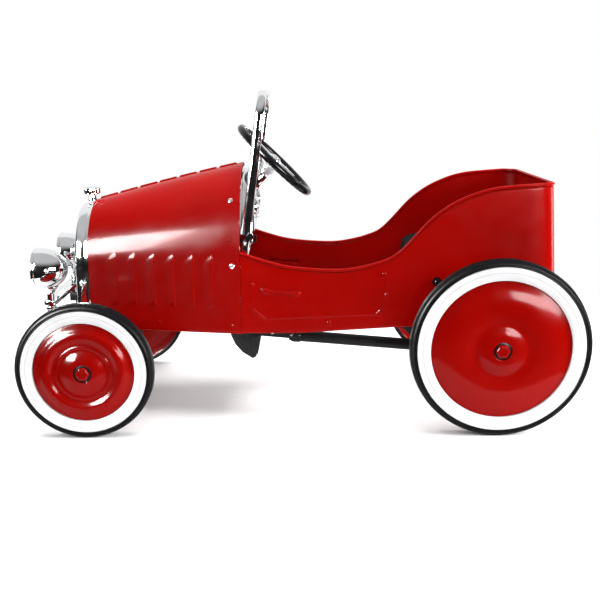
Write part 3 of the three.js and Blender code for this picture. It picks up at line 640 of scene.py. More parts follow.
def tail_panel():
    columns = []
    for (px, py), (nx, ny) in tail_path():
        low, top = lerp(TUB_BOTTOM, min(px, 366)), lerp(COCKPIT, min(px, 366))
        row = [(-14, low), (-6, low), (-2.2, low), (-0.7, low + 0.6), (0, low + 2.5), (0, 170)]
        row += [(0, 170 + (top - 11 - 170) * k / 26) for k in range(1, 27)]
        row += hem(top)
        ring = []
        for out, z in row:
            lean = (384 - z) * 10 / 143 * smoothstep(TAIL_SEAM, 378, px)
            # A shallow pressed panel in the middle of the tail.
            inside = min(96 - abs(py), z - 196, 346 - z)
            press = -1.6 * smoothstep(0, 7, inside) if nx > 0.99 and out == 0 else 0.0
            ring.append((px + lean + nx * (out + press), py + ny * (out + press), z))
        columns.append(ring)
    return open_sheet(columns)


piece("tail_panel", turned_over(tail_panel()), RED, "body_rear", **PRESSED)

# ---- Radiator ----


def arch(radius, low, apex):
    """A closed outline in (Y, Z): two legs, a half circle above and a foot with round corners."""
    corner, steps = 4.0, 40
    spring = apex - radius
    pts = [(radius * cos(pi * k / steps), spring + radius * sin(pi * k / steps))
        for k in range(steps + 1)]
    pts += [(-radius, spring + (low + corner - spring) * k / 6) for k in range(1, 7)]
    bend = [(corner * (1 - cos(a)), low + corner * (1 - sin(a))) for a in (0, 0.4, 0.8, 1.2, pi / 2)]
    pts += [(-radius + y, z) for y, z in bend[1:]]
    pts += [(-radius + corner + (2 * (radius - corner)) * k / 8, low) for k in range(1, 9)]
    pts += [(radius - y, z) for y, z in bend[3::-1]]
    pts += [(radius, spring + (low + corner - spring) * (1 - k / 6)) for k in range(1, 6)]
    return pts


OPENING_RADIUS, OPENING_APEX = 79, 331
# The surround's section, as (share of the way from the opening to the outside, X).
SURROUND = [(0, -347), (0, -357), (0.03, -360), (0.1, -362.4), (0.25, -364.2), (0.42, -364.8),
    (0.62, -364.3), (0.74, -362.6), (0.8, -359.8), (0.825, -357), (0.93, -349.4), (0.915, -348.6),
    (0.925, -347.8), (0.96, -347), (1, -343.2), (0.85, -343), (0.85, -347)]


def radiator_shell():
    """The surround's section carried round the arch."""
    pairs = list(zip(arch(92, 148, 344), arch(OPENING_RADIUS, 162, OPENING_APEX)))
    return closed_band([[(x, iy + (oy - iy) * share, iz + (oz - iz) * share)
        for (oy, oz), (iy, iz) in pairs] for share, x in SURROUND])


piece("radiator_surround", radiator_shell(), CHROME, "radiator_shell")


def grille():
    """Upright slats and cross bars that end behind the surround."""
    parts = []
    spring, reach = OPENING_APEX - OPENING_RADIUS, OPENING_RADIUS + 1.5
    slat = rounded(rectangle(-1.1, -1.0, 1.1, 1.0), 0.5, 2)
    for k in range(-12, 13):
        y = k * 6.2
        top = spring + sqrt(max(reach**2 - y * y, 0))
        parts.append(sweep([(-361.6, y, 158), (-361.6, y, top)], slat, normal=(1, 0, 0)))
    for z in (196, 234, 272, 308):
        half = 81 if z < spring else sqrt(reach**2 - (z - spring) ** 2)
        parts.append(sweep([(-359.2, -half, z), (-359.2, half, z)], circle(1.3, 8)))
    return merge(*parts)


piece("grille_slats", grille(), GRILLE, "radiator_grille")
piece("grille_backing", loft([[(x, y, z) for y, z in arch(83, 158, 335)] for x in (-356.5, -355.5)]),
    BLACK)


def radiator_cap():
    """A fluted screw cap on a short neck."""
    profile = [(0, 0), (7.4, 0), (7.9, 0.6), (7.9, 2), (7.4, 3.2), (7.0, 6), (6.6, 9.5), (7.6, 10.4),
        (10.6, 10.9), (12.6, 11.6), (13.5, 12.8), (13.5, 14.6), (13.5, 19.6), (13.2, 20.9), (12.2, 21.8),
        (9.6, 22.2), (8.8, 22.6), (5, 23.1), (0, 23.4)]
    rings = []
    for r, h in profile:
        depth = 1.3 if 12 < r and 12 < h < 22 else 0
        rings.append([(*polar(r - depth * (0.5 + 0.5 * cos(20 * a)) ** 0.7, a), h) for a in turns(96)])
    return closed_band(rings)


piece("filler_cap", radiator_cap(), CHROME, "radiator_cap", at=Matrix.Translation((-350.4, 0, 344.3)))

# ---- Windscreen ----

SCREEN = Matrix.Translation((-95.5, 0, 250.7)) @ Matrix.Rotation(radians(7.6), 4, "Y")


def screen_path():
    half, low, top = 109.75, 2.5, 270.75
    return [(0, y, z) for y, z in rounded([(-half, low, 6), (half, low, 6), (half, top, 38),
        (-half, top, 38)], 38, 14)]


def screen_section():
    """An oval tube whose inner side has a channel for the pane."""
    outer = [(-7.25 * cos(pi * k / 16), 4.25 * sin(pi * k / 16) ** 0.9) for k in range(17)]
    inner = [(7.0, -1.6), (5.6, -3.6), (3.6, -4.25), (1.9, -4.0), (1.5, -2.4), (0.6, -1.7), (-0.6, -1.7),
        (-1.5, -2.4), (-1.9, -4.0), (-3.6, -4.25), (-5.6, -3.6), (-7.0, -1.6)]
    return outer + inner


piece("screen_frame", sweep(screen_path(), screen_section()[::-1], normal=(1, 0, 0), closed=True), CHROME,
    "windscreen_frame", at=SCREEN, sharp=50)


def bolt(radius, height):
    """A dome nut or bolt head on a washer, rising along Z."""
    washer = lathe([(0, 0), (radius * 1.35, 0), (radius * 1.4, 0.3), (radius * 1.35, 0.9), (0, 0.9)], 24)
    dome = lathe([(0, 0.8), (radius, 0.8), (radius * 1.02, 1.4), (radius * 0.98, height * 0.45),
        (radius * 0.85, height * 0.72), (radius * 0.55, height * 0.93), (0, height)], 24)
    return merge(washer, dome)


STRAP = [(-15.5, 26.5), (-9, 20.5), (13.5, 53), (7, 58)]
FOOT = [(-7, 1.5), (7, 1.5), (7, 22), (4, 40), (-4, 40), (-7, 22)]
# Each clamp plate's label, outline in (X, Z), corner radius and steps, two heights, material and bevel.
CLAMP = [("strap", STRAP, 3.5, 4, 0, 1.8, CHROME, 0.5), ("foot", FOOT, 2.5, 3, 0.2, 1.6, CHROME, 0.4),
    ("block", rectangle(0, 2, 12, 15), 2, 3, 1.6, 16, BLACK, 0.5)]
for name, side in SIDES:
    facing = SCREEN @ axes((0, side * 114.3, 0), (0, side, 0))
    for label, outline, radius, steps, low, high, material, edge in CLAMP:
        # Seen from the right, an outline's Z runs the other way.
        outline = [(x, -side * z) for x, z in outline]
        piece(f"screen_{label}_{name}", slab(rounded(outline, radius, steps), low, high), material,
            f"windscreen_clamp_{name}" if label == "strap" else None, at=facing, bevel=edge)
    piece(f"screen_bolt_{name}", bolt(4.2, 4.6), CHROME,
        at=facing @ Matrix.Translation((-1, -side * 39, 1.7)))

# ---- Dashboard ----


def half_oval(inset):
    """A closed outline in (Y, Z) of the dashboard's raised tray."""
    half, height, low = 103 - inset, 96 - 2 * inset, 302 + inset
    pts = [(half * cos(pi * k / 36), low + height * sin(pi * k / 36)) for k in range(37)]
    return pts + [(-half + 2 * half * k / 12, low) for k in range(1, 12)]


# The pressed tray, as (inset, X): a wide flange, a rolled shoulder and a slightly domed face.
TRAY = [(0.6, -96.4), (0.2, -94), (0.0, -84), (0.5, -80.5), (2.0, -77.6), (4.2, -76.0), (6.5, -75.4),
    (9.0, -75.9), (11, -77.2), (13, -78.0), (18, -77.6), (26, -76.9), (36, -76.2), (46, -75.8)]
piece("dash_tray", loft([[(x, y, z) for y, z in half_oval(inset)] for inset, x in TRAY]), PLATE,
    "dashboard", sharp=50)


def dash_flange():
    """The part of the plate that fills the hood's arch, round the tray."""
    middle, share = 303, 0.72
    outer = sorted((p for p in arch(127.3, 240, 401.4) if p[1] > middle),
        key=lambda p: atan2(p[1] - middle, p[0]))
    inner = [(y * share, middle + (z - middle) * share) for y, z in outer]
    rings = [[(x, y, z) for y, z in line] for x, line in ((-96.6, outer), (-95.0, outer), (-95.0, inner),
        (-96.6, inner), (-96.6, outer))]
    return open_sheet(rings)


piece("dash_flange", dash_flange(), PLATE)


def gauge(name, y, z, radius):
    at = axes((-76.6, y, z), (1, 0, 0), (0, 1, 0))
    ring = [(radius - 3.2, 0.2), (radius + 2.0, 0.0), (radius + 2.6, 1.2), (radius + 2.0, 3.4),
        (radius + 0.4, 4.4), (radius - 1.2, 3.8), (radius - 1.8, 2.2), (radius - 3.2, 1.4)]
    piece(f"gauge_ring_{name}", lathe(ring, 48), CHROME, at=at, sharp=45)
    face = [(0, 0.1), (radius - 2.2, 0.1), (radius - 1.6, 1.0), (radius - 2.6, 1.5), (0, 1.9)]
    piece(f"gauge_dial_{name}", lathe(face, 48), DIAL, at=at, sharp=45)
    marks = []
    for k in range(11):
        inner, half = (radius - 6.4, 0.5) if k % 5 == 0 else (radius - 5.0, 0.3)
        tick = slab(rectangle(inner, -half, radius - 3.4, half), 1.5, 1.95)
        marks.append(moved(tick, Matrix.Rotation(radians(-210 + 24 * k), 4, "Z")))
    needle = slab([(-3, -0.8), (radius - 5.5, -0.15), (radius - 5.5, 0.15), (-3, 0.8)], 2.2, 2.8)
    marks.append(moved(needle, Matrix.Rotation(radians(130), 4, "Z")))
    marks.append(lathe([(0, 1.5), (1.9, 1.5), (1.9, 3.0), (1.2, 3.5), (0, 3.6)], 20))
    piece(f"gauge_marks_{name}", merge(*marks), BLACK, at=at, slotted=False)


gauge("left", -55, 340, 16)
gauge("right", 55, 340, 16)
gauge("middle", 0, 334, 11)

# ---- Lamps ----

LAMP = {"y": 78.0, "z": 243.7, "rim": -431.0, "post": -410}


def lamp_lens():
    """A shallow dome with upright ribs on its inner face."""
    front = [(0, 0.6), (8, 0.8), (16, 1.3), (24, 2.1), (30.2, 3.0)]
    back = [(30.2, 4.4), (24, 3.7), (16, 3.0), (8, 2.5), (0, 2.3)]
    rings = [[(x, y, h) for x, y in circle(r, 96)] for r, h in front]
    for r, h in back:
        rib = 0.35 if r else 0
        rings.append([(x, y, h + rib * cos(x * 1.3)) for x, y in circle(r, 96)])
    return closed_band(rings)


def lamp(name, side):
    """A bullet lamp that faces forward: shell, rim, bulb and ribbed lens, on its post."""
    y = side * LAMP["y"]
    at = axes((LAMP["rim"], y, LAMP["z"]), (1, 0, 0), (0, 1, 0))
    shell = [(32.6, 1.8)] + spline([(33.2, 6), (33.3, 10), (32.9, 17), (31.2, 25), (27.6, 34),
        (21.5, 42.5), (13, 48.6), (5, 51.2), (0, 51.6)], 4)
    inside = [(0, 40), (9, 39), (19, 33), (27, 22), (31, 9), (31.6, 1.8)]
    piece(f"lamp_shell_{name}", lathe(shell + inside, 72), CHROME, f"headlight_{name}", at=at, sharp=50)
    rim = [(30.2, 2.6), (29.6, 0.9), (30.4, 0.1), (32.6, 0.1), (33.7, 0.8), (34, 2.2), (34, 4.4),
        (33.5, 5.6), (32.9, 5.9), (32.4, 4.4), (31.2, 3.4)]
    piece(f"lamp_rim_{name}", lathe(rim, 72), CHROME, at=at, sharp=45)
    piece(f"lamp_lens_{name}", lamp_lens(), LENS, f"headlight_lens_{name}", at=at, sharp=60)
    bulb = spline([(0, 12), (3.4, 12.8), (5.6, 15.6), (6, 19), (5, 23), (3.2, 26.5), (3.2, 36)], 3)
    piece(f"lamp_bulb_{name}", lathe(bulb + [(0, 36)], 28), BULB, at=at, sharp=50)
    # The side pivot of the lamp and its dome nut.
    nut_at = axes((LAMP["rim"] + 27, side * (LAMP["y"] + 30.6), LAMP["z"] + 2), (0, side, 0))
    piece(f"lamp_nut_{name}", bolt(3.6, 5.2), CHROME, at=nut_at, sharp=45)
    # The post, its collar, its foot and the nut under it.
    post = [(0, -36), (7, -36), (7, -30), (8.6, -29), (8.6, -25.6), (6.6, -24.4), (6.2, -20), (5.8, -10),
        (6.2, -4), (7.8, 0), (10.5, 3.4), (13.5, 7.6), (13.5, 9.4), (0, 9.4)]
    piece(f"lamp_post_{name}", lathe(post, 40), CHROME, at=Matrix.Translation((LAMP["post"], y, 206.4)),
        sharp=45)


for name, side in SIDES:
    lamp(name, side)
piece("lamp_bar", slab(rounded(rectangle(-11, -90, 11, 90), 10, 8), 0, 7), CHROME, "headlight_bar",
    at=Matrix.Translation((LAMP["post"], 0, 185)), bevel=1.2, sharp=45)

# ---- Steering ----

WHEEL = axes((-44.35, 0, 410), (0.693, 0, 0.721), (0.721, 0, -0.693))


def wheel_rim():
    """A black rim with finger grips moulded along its under side."""
    rings = []
    for a in turns(160):
        ring = []
        for b in turns(20):
            r = 6.3 + 0.3 * max(0.0, -sin(b)) ** 2 * cos(40 * a)
            ring.append((*polar(75 + r * cos(b), a), r * sin(b)))
        rings.append(ring)
    return closed_band(rings)


def spoke():
    """One flat spoke with a pressed rib, from the hub to the rim."""
    rings = []
    for k in range(15):
        half = 5.4 - 1.2 * sin(pi * k / 14)
        drop = -1.8 * sin(pi * k / 28) ** 2 + 1.0
        rib = 1.1 * smoothstep(0, 3, k) * smoothstep(14, 11, k)
        flank = [(half, -0.9), (half + 0.3, 0), (half, 0.9), (half * 0.55, 0.95),
            (half * 0.3, 0.95 + rib * 0.7)]
        ring = [(-y, z) for y, z in flank] + [(0, 0.95 + rib)] + flank[::-1]
        rings.append([(10 + 61 * k / 14, y, z + drop) for y, z in ring])
    return loft(rings)


# Turned profiles on the column, as (radius, distance along it from the wheel's middle).
HUB = [(0, -8.5), (12.6, -8.5), (13.6, -7.6), (14, -6), (14, 1.5), (13.4, 3.2), (11.5, 4.4), (8.6, 5.0),
    (7.8, 5.2), (7.4, 6.2), (5.4, 6.9), (0, 7)]
SLEEVE = [(6.4, -27), (9.4, -27), (10, -26.2), (10, -22), (12.4, -21), (13, -20), (13, -12), (12.4, -11),
    (10.4, -9.2), (6.4, -9.2)]
FERRULE = [(6.6, -56), (13.2, -56), (14.2, -55), (14.4, -52), (13.2, -50), (12.2, -46), (11.8, -31),
    (11, -29.6), (6.6, -29.6)]
spokes = [moved(spoke(), Matrix.Rotation(radians(45 + 90 * k), 4, "Z")) for k in range(4)]
piece("wheel_rim", wheel_rim(), GRIP, "steering_wheel_rim", "steering", at=WHEEL, sharp=60)
piece("wheel_spokes", merge(*spokes, lathe(HUB, 48)), CHROME, "steering_wheel_spokes", "steering",
    at=WHEEL)
piece("column_bar", rod(-401.6, -9, 6, 0.6), ZINC, "steering_column", "steering", at=WHEEL)
piece("column_collar", lathe(SLEEVE, 40), GREY, "column_sleeve", "steering", at=WHEEL)
piece("column_ferrule", lathe(FERRULE, 40), CHROME, at=WHEEL)

# ---- Pedals and push rods ----

PEDAL_PIVOT = (-108.0, 256.5)
ROD_PIN = (-76.0, 133.0)
CRANK_PIN = {"left": (301.25, 100.7), "right": (301.25, 176.7)}
PAD = [(-119, 160), (-119, 126), (-112, 110), (-100, 96), (-83, 85), (-77, 89), (-70, 127), (-66, 160)]


def upright_plate(side, outline, near, far):
    """A plate from its outline in (X, Z), between two distances |Y| from the middle."""
    lying = Matrix(((1, 0, 0, 0), (0, 0, side, 0), (0, 1, 0, 0), (0, 0, 0, 1)))
    return moved(slab(outline, near, far), lying)


def hull_outline(a, ra, b, rb, steps=10):
    """The outline round two circles in a plane."""
    a, b = Vector(a), Vector(b)
    d = b - a
    base = atan2(d.y, d.x)
    spread = acos((ra - rb) / d.length)
    out = []
    for centre, radius, start, turn in ((a, ra, base + spread, tau - 2 * spread),
            (b, rb, base - spread, 2 * spread)):
        for k in range(steps + 1):
            x, y = polar(radius, start + turn * k / steps)
            out.append((centre.x + x, centre.y + y))
    return out


def boss(side, x, z, near, far, radius, edge=0.8):
    return moved(rod(near, far, radius, edge), axes((x, 0, z), (0, side, 0)))


def pedal(name, side):
    body = f"pedal_{name}"
    lever = upright_plate(side, hull_outline(PEDAL_PIVOT, 11, ROD_PIN, 8.5), 63, 67)
    piece(f"pedal_lever_{name}", lever, BLACK, f"pedal_arm_{name}", body, bevel=0.8)
    piece(f"pedal_boss_{name}", boss(side, *PEDAL_PIVOT, 55, 75, 9), BLACK, body=body)
    pin = [boss(side, *ROD_PIN, *size) for size in ((60.5, 74.6, 4.2), (72.6, 75, 7.4), (60.5, 62.8, 7))]
    piece(f"pedal_pin_{name}", merge(*pin), BLACK, body=body)
    piece(f"pedal_block_{name}", upright_plate(side, rounded(PAD, 4), 12, 62.7), PEDAL,
        f"pedal_pad_{name}", body, bevel=1.2)
    face = spline([(-66.5, 158), (-70, 127), (-76.5, 92)], 6)
    ribs = [sweep([(x + 0.6, side * (17 + 6.7 * k), z) for x, z in face], circle(1.5, 10))
        for k in range(7)]
    for k, low in enumerate((128, 119.4, 110.8, 102.2, 98)):
        x, y = -116 + 8.5 * k, side * 63.0
        ribs.append(sweep([(x, y, 150 - 0.6 * k), (x + 2, y, low)], circle(1.2, 10)))
    piece(f"pedal_ribs_{name}", merge(*ribs), PEDAL, body=body, sharp=50)


def push_rod(name, side):
    """A flat strip on the pedal's pin, a tube, and a tail with the bearing of the crank pin."""
    body = f"rod_{name}"
    pin_x, pin_z = CRANK_PIN[name]
    rise = (pin_z - ROD_PIN[1]) / (pin_x - ROD_PIN[0])

    def rod_z(x):
        return ROD_PIN[1] + (x - ROD_PIN[0]) * rise

    strip = [(-80, rod_z(-80) - 5), (-4, rod_z(-4) - 5.5), (-4, rod_z(-4) + 5.5), (-80, rod_z(-80) + 5)]
    piece(f"rod_strip_{name}", merge(boss(side, *ROD_PIN, 67.4, 72.2, 9, 0.6),
        upright_plate(side, strip, 67.6, 72)), BLACK, f"push_rod_{name}", body)
    length = 226.0
    tube = [(0, 0), (7.6, 0), (8.6, 0.8), (9.0, 3), (10.6, 5), (11, 7), (11, 17), (10.4, 19), (9.5, 20),
        (9.5, length - 10), (9.0, length - 4), (7, length - 0.5), (0, length)]
    piece(f"rod_tube_{name}", lathe(tube, 40), BLACK, body=body,
        at=axes((-22, side * 70, rod_z(-22)), (1, 0, rise)))
    tail = [(196, rod_z(196) - 6), (pin_x, pin_z - 8), (pin_x, pin_z + 8), (196, rod_z(196) + 6)]
    piece(f"rod_tail_{name}", upright_plate(side, tail, 67, 73), BLACK, body=body, bevel=0.7)
    piece(f"rod_bearing_{name}", boss(side, pin_x, pin_z, 66.4, 73.6, 12), BLACK, body=body)


for name, side in SIDES:
    pedal(name, side)
    push_rod(name, side)

# ---- Chassis ----

RAIL_LOW = [(-420, 154), (-85, 150), (-4, 150), (152, 159), (366, 162.8)]
AXLE_PLATE = [(152, 175.5), (152, 156), (178, 132), (262, 122), (287, 118), (315, 118), (356, 150),
    (356, 175.5)]
AXLE_COLLAR = [(6.6, 86), (12.5, 86), (13.5, 87), (13.8, 92), (15.5, 94), (15.5, 97.6), (6.6, 97.6)]
AXLES = {"front": (-333.75, 106.2, 77.5, 96.0), "rear": (301.25, 138.7, 107.4, 128.0)}


def rail(side):
    """A rail that steps outwards behind the front wheels, and whose lower edge is a bent line."""
    way = [(-419, 78), (-300, 78), (-165, 78), (-125, 105), (-40, 105), (362, 105)]
    way = rounded([(x, side * y) for x, y in way], 30, 6, closed=False)
    rings = []
    for i, (x, y) in enumerate(way):
        t = (Vector(way[min(i + 1, len(way) - 1)]) - Vector(way[max(i - 1, 0)])).normalized()
        half = 5.9 + smoothstep(-165, -125, x)
        ring = rounded(rectangle(-half, lerp(RAIL_LOW, x), half, 170.0), 2, 3)
        rings.append([(x - t.y * s, y + t.x * s, z) for s, z in ring])
    return loft(rings)


for name, side in SIDES:
    piece(f"rail_{name}", rail(side), BLACK, f"chassis_rail_{name}")
    piece(f"axle_plate_{name}", upright_plate(side, rounded(AXLE_PLATE, 7), 93.9, 97.5), BLACK,
        f"axle_bracket_{name}", bevel=0.6)
    piece(f"axle_bearing_{name}", lathe(AXLE_COLLAR, 40), ZINC,
        at=axes((AXLES["rear"][0], 0, AXLES["rear"][1]), (0, side, 0)))


def soften(node, width, material):
    """Rounds a kept CAD node's edges and gives it its material."""
    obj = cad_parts[node]
    edge = obj.modifiers.new("edges", "BEVEL")
    edge.width = width * MM
    edge.segments = 2
    edge.limit_method = "ANGLE"
    edge.angle_limit = radians(40)
    obj.data.materials.clear()
    obj.data.materials.append(material)


for node in ("chassis_cross_member", "chassis_cross_rear", "column_support", "front_axle_beam",
        "knuckle_left", "knuckle_right", "tie_rod"):
    soften(node, 0.8, BLACK)
for node in ("kingpin_left", "kingpin_right", "pedal_shaft", "crank_left", "crank_centre", "crank_right"):
    soften(node, 0.5, ZINC)
soften("seat_pan", 0.4, RED)

# ---- Wheels ----

WHEEL_INSIDE = 174  # |Y| of each tyre's inner side


def tyre_profile(radius, rim, white):
    """(radius, distance out from the tyre's inner side) round the black rubber."""
    outer = [(radius - 5.4, 0.5), (radius - 2.4, 2.2), (radius - 0.6, 5), (radius, 8.4)]
    tread = []
    for k in range(4):
        h = 9.6 + 2.2 * k
        tread += [(radius, h), (radius - 0.7, h + 0.4), (radius - 0.7, h + 0.8), (radius, h + 1.2)]
    far = [(radius, 18.4), (radius - 0.7, 21.4), (radius - 2.6, 24), (radius - 5.2, 25.6),
        (radius - 6.6, 25.7), (radius - 7.1, 24.5), (radius - 7.7, 24.5), (radius - 8.2, 25.7),
        (white + 0.9, 25.9), (white + 0.1, 25.2), (white, 21.5)]
    back = [(rim - 2.4, 21.5), (rim - 2.4, 4), (radius - 8, 3.2), (radius - 7.2, 0.9)]
    return outer + tread + far + back


def white_profile(rim, white):
    line = rim + 0.58 * (white - rim)
    return [(white - 0.1, 21.6), (white - 0.1, 25.2), (white - 0.9, 26), (line + 1.0, 26),
        (line + 0.4, 25.45), (line - 0.4, 25.45), (line - 1.0, 26), (rim + 1.4, 26), (rim + 0.3, 25.5),
        (rim + 0.1, 24.6), (rim + 0.1, 21.6)]


REAR_FACE = [(107.3, 21.9), (106.4, 22.6), (104, 23.4), (100, 24.7), (94.5, 26.4), (88, 27.9), (81, 29.2),
    (73, 30.0), (65, 30.3), (58, 30.2), (53, 29.9), (48.5, 29.3), (45, 28.8), (42, 28.5), (39.5, 28.5),
    (36.5, 28.9), (33.5, 29.7), (30, 30.6), (25, 31.6), (19, 32.2), (14.4, 32.3)]
FRONT_FACE = [(77.4, 22.2), (76.5, 23.5), (73.5, 24.5), (70, 25.5), (67, 26.8), (64.5, 28.2), (62, 29.4),
    (59, 30.1), (56, 30.2), (53, 29.5), (50.5, 28.2), (48.5, 27.1), (46.5, 26.4), (44.5, 26.1),
    (43, 26.4), (41.6, 27.1), (40.3, 27.2), (38.8, 26.8), (36.8, 26.4), (34.5, 26.7), (31, 28.1),
    (27, 29.7), (22, 31.2), (17, 32.0), (14.4, 32.2)]


def disc_profile(face, radius, rim):
    """The dished disc from its rim to the nut's recess, and back along its inner side."""
    inner = radius - 7.4
    return spline(face, 3) + [(13.9, 31.8), (13.8, 31.0), (13.8, 28.6), (6.8, 28.6), (6.8, -4), (13, -4),
        (14, -3), (14, 6), (16, 8), (30, 9.4), (0.55 * rim, 8.0), (0.82 * rim, 4.6), (rim - 1, 3.0),
        (inner - 3, 2.6), (inner - 1.2, 1.6), (inner, 1.4), (inner + 0.4, 2.2), (inner - 0.2, 3.0),
        (rim - 2.6, 4.2), (rim - 2.6, 21), (rim - 1.0, 21.4)]


NUT = [(0, 28.7), (10.0, 28.7), (10.6, 29.4), (10.8, 31), (10.8, 32.6), (9.9, 34.0), (8.2, 34.8),
    (6.6, 34.9), (5.0, 34.6), (0, 34.4)]
# The black washer on the floor of the nut's recess: its black stands in for the shade in that recess.
NUT_SHADE_WASHER = [(8.8, 28.65), (13.5, 28.65), (13.5, 29.5), (13.0, 29.8), (8.8, 29.8)]


def hub_nut():
    """A turned nut with six shallow flats round it."""
    verts, faces = lathe(NUT, 72)
    shares = [1 - 0.12 * (1 - cos(6 * atan2(y, x))) / 2 for x, y, _ in verts]
    return [(x * k, y * k, z) for k, (x, y, z) in zip(shares, verts)], faces


for end, (x, radius, rim, white) in AXLES.items():
    segments, face = (128, REAR_FACE) if end == "rear" else (112, FRONT_FACE)
    for name, side in SIDES:
        wheel = f"{end}_{name}"
        on = {"body": "rear_axle" if end == "rear" else f"wheel_front_{name}",
            "at": axes((x, side * WHEEL_INSIDE, radius), (0, side, 0))}
        piece(f"tyre_black_{wheel}", lathe(tyre_profile(radius, rim, white), segments), TYRE,
            f"tyre_{wheel}", sharp=42, **on)
        piece(f"tyre_white_{wheel}", lathe(white_profile(rim, white), segments), WHITE, sharp=42, **on)
        piece(f"wheel_disc_{wheel}", lathe(disc_profile(face, radius, rim), segments), WHEEL_RED,
            f"disc_{wheel}", sharp=50, **on)
        piece(f"hub_nut_{wheel}", hub_nut(), WHEEL_RED, f"hub_cap_{wheel}", sharp=50, **on)
        piece(f"hub_shade_washer_{wheel}", lathe(NUT_SHADE_WASHER, 48), BLACK, sharp=32, **on)

# ---- Fasteners ----


def cross_screw(radius):
    """A domed head with a cross recess, standing on Z = 0."""
    steps, height, arm, reach = 12, radius * 0.42, radius * 0.13, radius * 0.55
    profile = [(radius, -0.4), (radius, 0.25)]
    profile += [(radius * cos(a), 0.25 + height * sin(a)) for a in (0.25, 0.5, 0.75, 1.0)]
    rings = [[(0, 0, -0.4)] * 48] + [[(x, y, h) for x, y in circle(r, 48)] for r, h in profile]
    for k in range(1, steps + 1):
        r = profile[-1][0] * (1 - k / steps)
        dome = 0.25 + height * sqrt(max(1 - (r / radius) ** 2, 0))
        cut = radius * 0.22 * (1 - 0.6 * r / reach) if r < reach else 0
        rings.append([(x, y, dome - (cut if abs(x) < arm or abs(y) < arm else 0)) for x, y in circle(r,
            48)])
    return loft(rings, caps=False)


def dome_rivet(radius):
    return lathe([(0, -0.4), (radius, -0.4), (radius, 0.15), (radius * 0.93, radius * 0.26),
        (radius * 0.72, radius * 0.46), (radius * 0.4, radius * 0.57), (0, radius * 0.6)], 24)


SCREW_CHROME = finished_mesh("screw_chrome", cross_screw(4.6), CHROME)
SCREW_RED = finished_mesh("screw_red", cross_screw(4.2), RED)
RIVET_RED = finished_mesh("rivet_red", dome_rivet(3.4), RED)
RIVET_CHROME = finished_mesh("rivet_chrome", dome_rivet(3.2), CHROME)
BOLT_BLACK = finished_mesh("bolt_black", bolt(5.2, 6.4), GRIP)
BOLT_ZINC = finished_mesh("bolt_zinc", bolt(4.2, 4.4), ZINC)
BOLT_SMALL = finished_mesh("bolt_small", bolt(2.6, 3.4), ZINC)


def fasten(name, mesh, where, facing, body="chassis", turn=20):
    obj = add_object(name, mesh)
    up = (1, 0, 0) if abs(facing[0]) < 0.9 else (0, 1, 0)
    at = axes(where, facing, up) @ Matrix.Rotation(radians(turn), 4, "Z")
    obj.matrix_world = Matrix.Translation(at.translation * MM) @ at.to_3x3().to_4x4()
    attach(obj, body)


# Each fastener's label, mesh, X, Z and turn on the body's side.
SIDE_FASTENERS = [("hood_rear", SCREW_CHROME, -109, 256.5, 20),
    ("hood_low_rear", RIVET_RED, -109, 161, 0), ("hood_low_front", RIVET_RED, -227, 162, 0),
    ("hood_low_nose", RIVET_RED, -316, 162, 0), ("side_low", SCREW_RED, 42, 165, 35),
    ("side_door_top", RIVET_RED, -77, 228, 0), ("side_seat_top", SCREW_RED, 128, 243, 10),
    ("side_seat_low", RIVET_RED, 132, 211, 0), ("side_seat_bolt", BOLT_BLACK, 210, 231, 0),
    ("side_tail_low", RIVET_RED, 352, 178, 0)]
for name, side in SIDES:
    for label, mesh, x, z, turn in SIDE_FASTENERS:
        y = TUB_Y + (door_rise(x, z) if -82 < x < 130 else 0)
        if x < HOOD_X1:
            y = hood_radius(x)
        fasten(f"fix_{label}_{name}", mesh, (x, side * y, z), (0, side, 0), turn=turn)
    x = -111
    r, spring = hood_radius(x), hood_apex(x) - hood_radius(x)
    for label, mesh, z in (("hood_shoulder", RIVET_RED, 297), ("hood_top", SCREW_CHROME, 355)):
        a = asin((z - spring) / r)
        fasten(f"fix_{label}_{name}", mesh, (x, side * r * cos(a), z), (0, side * cos(a), sin(a)),
            turn=30)
    fasten(f"fix_radiator_{name}", SCREW_CHROME, (-353.5, side * 92, 222), (0, side, 0), turn=15)
    fasten(f"fix_radiator_low_{name}", RIVET_CHROME, (-353.5, side * 92, 166), (0, side, 0))
    for k, y in enumerate((40, 104)):
        fasten(f"fix_tail_{k}_{name}", RIVET_RED, (399.6, side * y, 181), (1, 0, 0.07))
    fasten(f"fix_rod_{name}", BOLT_SMALL, (-49.3, side * 72, 134.1), (0, side, 0), f"rod_{name}")
    for k, (x, z) in enumerate(((172, 164), (336, 164))):
        fasten(f"fix_axle_plate_{k}_{name}", BOLT_ZINC, (x, side * 97.5, z), (0, side, 0))

# ---- Seat ----

SEAT_X0, SEAT_X1, SEAT_HALF, SEAT_LOW = 174.0, 361.0, 121.0, 230.4
CHANNELS = (-40.5, 40.5)  # Y of the stitched channels across the seat


def cushion_shape(inset):
    """A rounded box for the padding, a little smaller than the finished cushion."""
    rings = []
    for drop, pull in [(0, 3), (3, 0.5), (13, 0), (23, 0.6), (31, 3), (37, 8), (40.5, 15), (42, 24)]:
        half = SEAT_HALF - inset - pull
        outline = rectangle(SEAT_X0 + inset + pull, -half, SEAT_X1 - inset - pull, half)
        rings.append([(x, y, SEAT_LOW + drop) for x, y in rounded(outline, 30, 6)])
    return loft(rings)


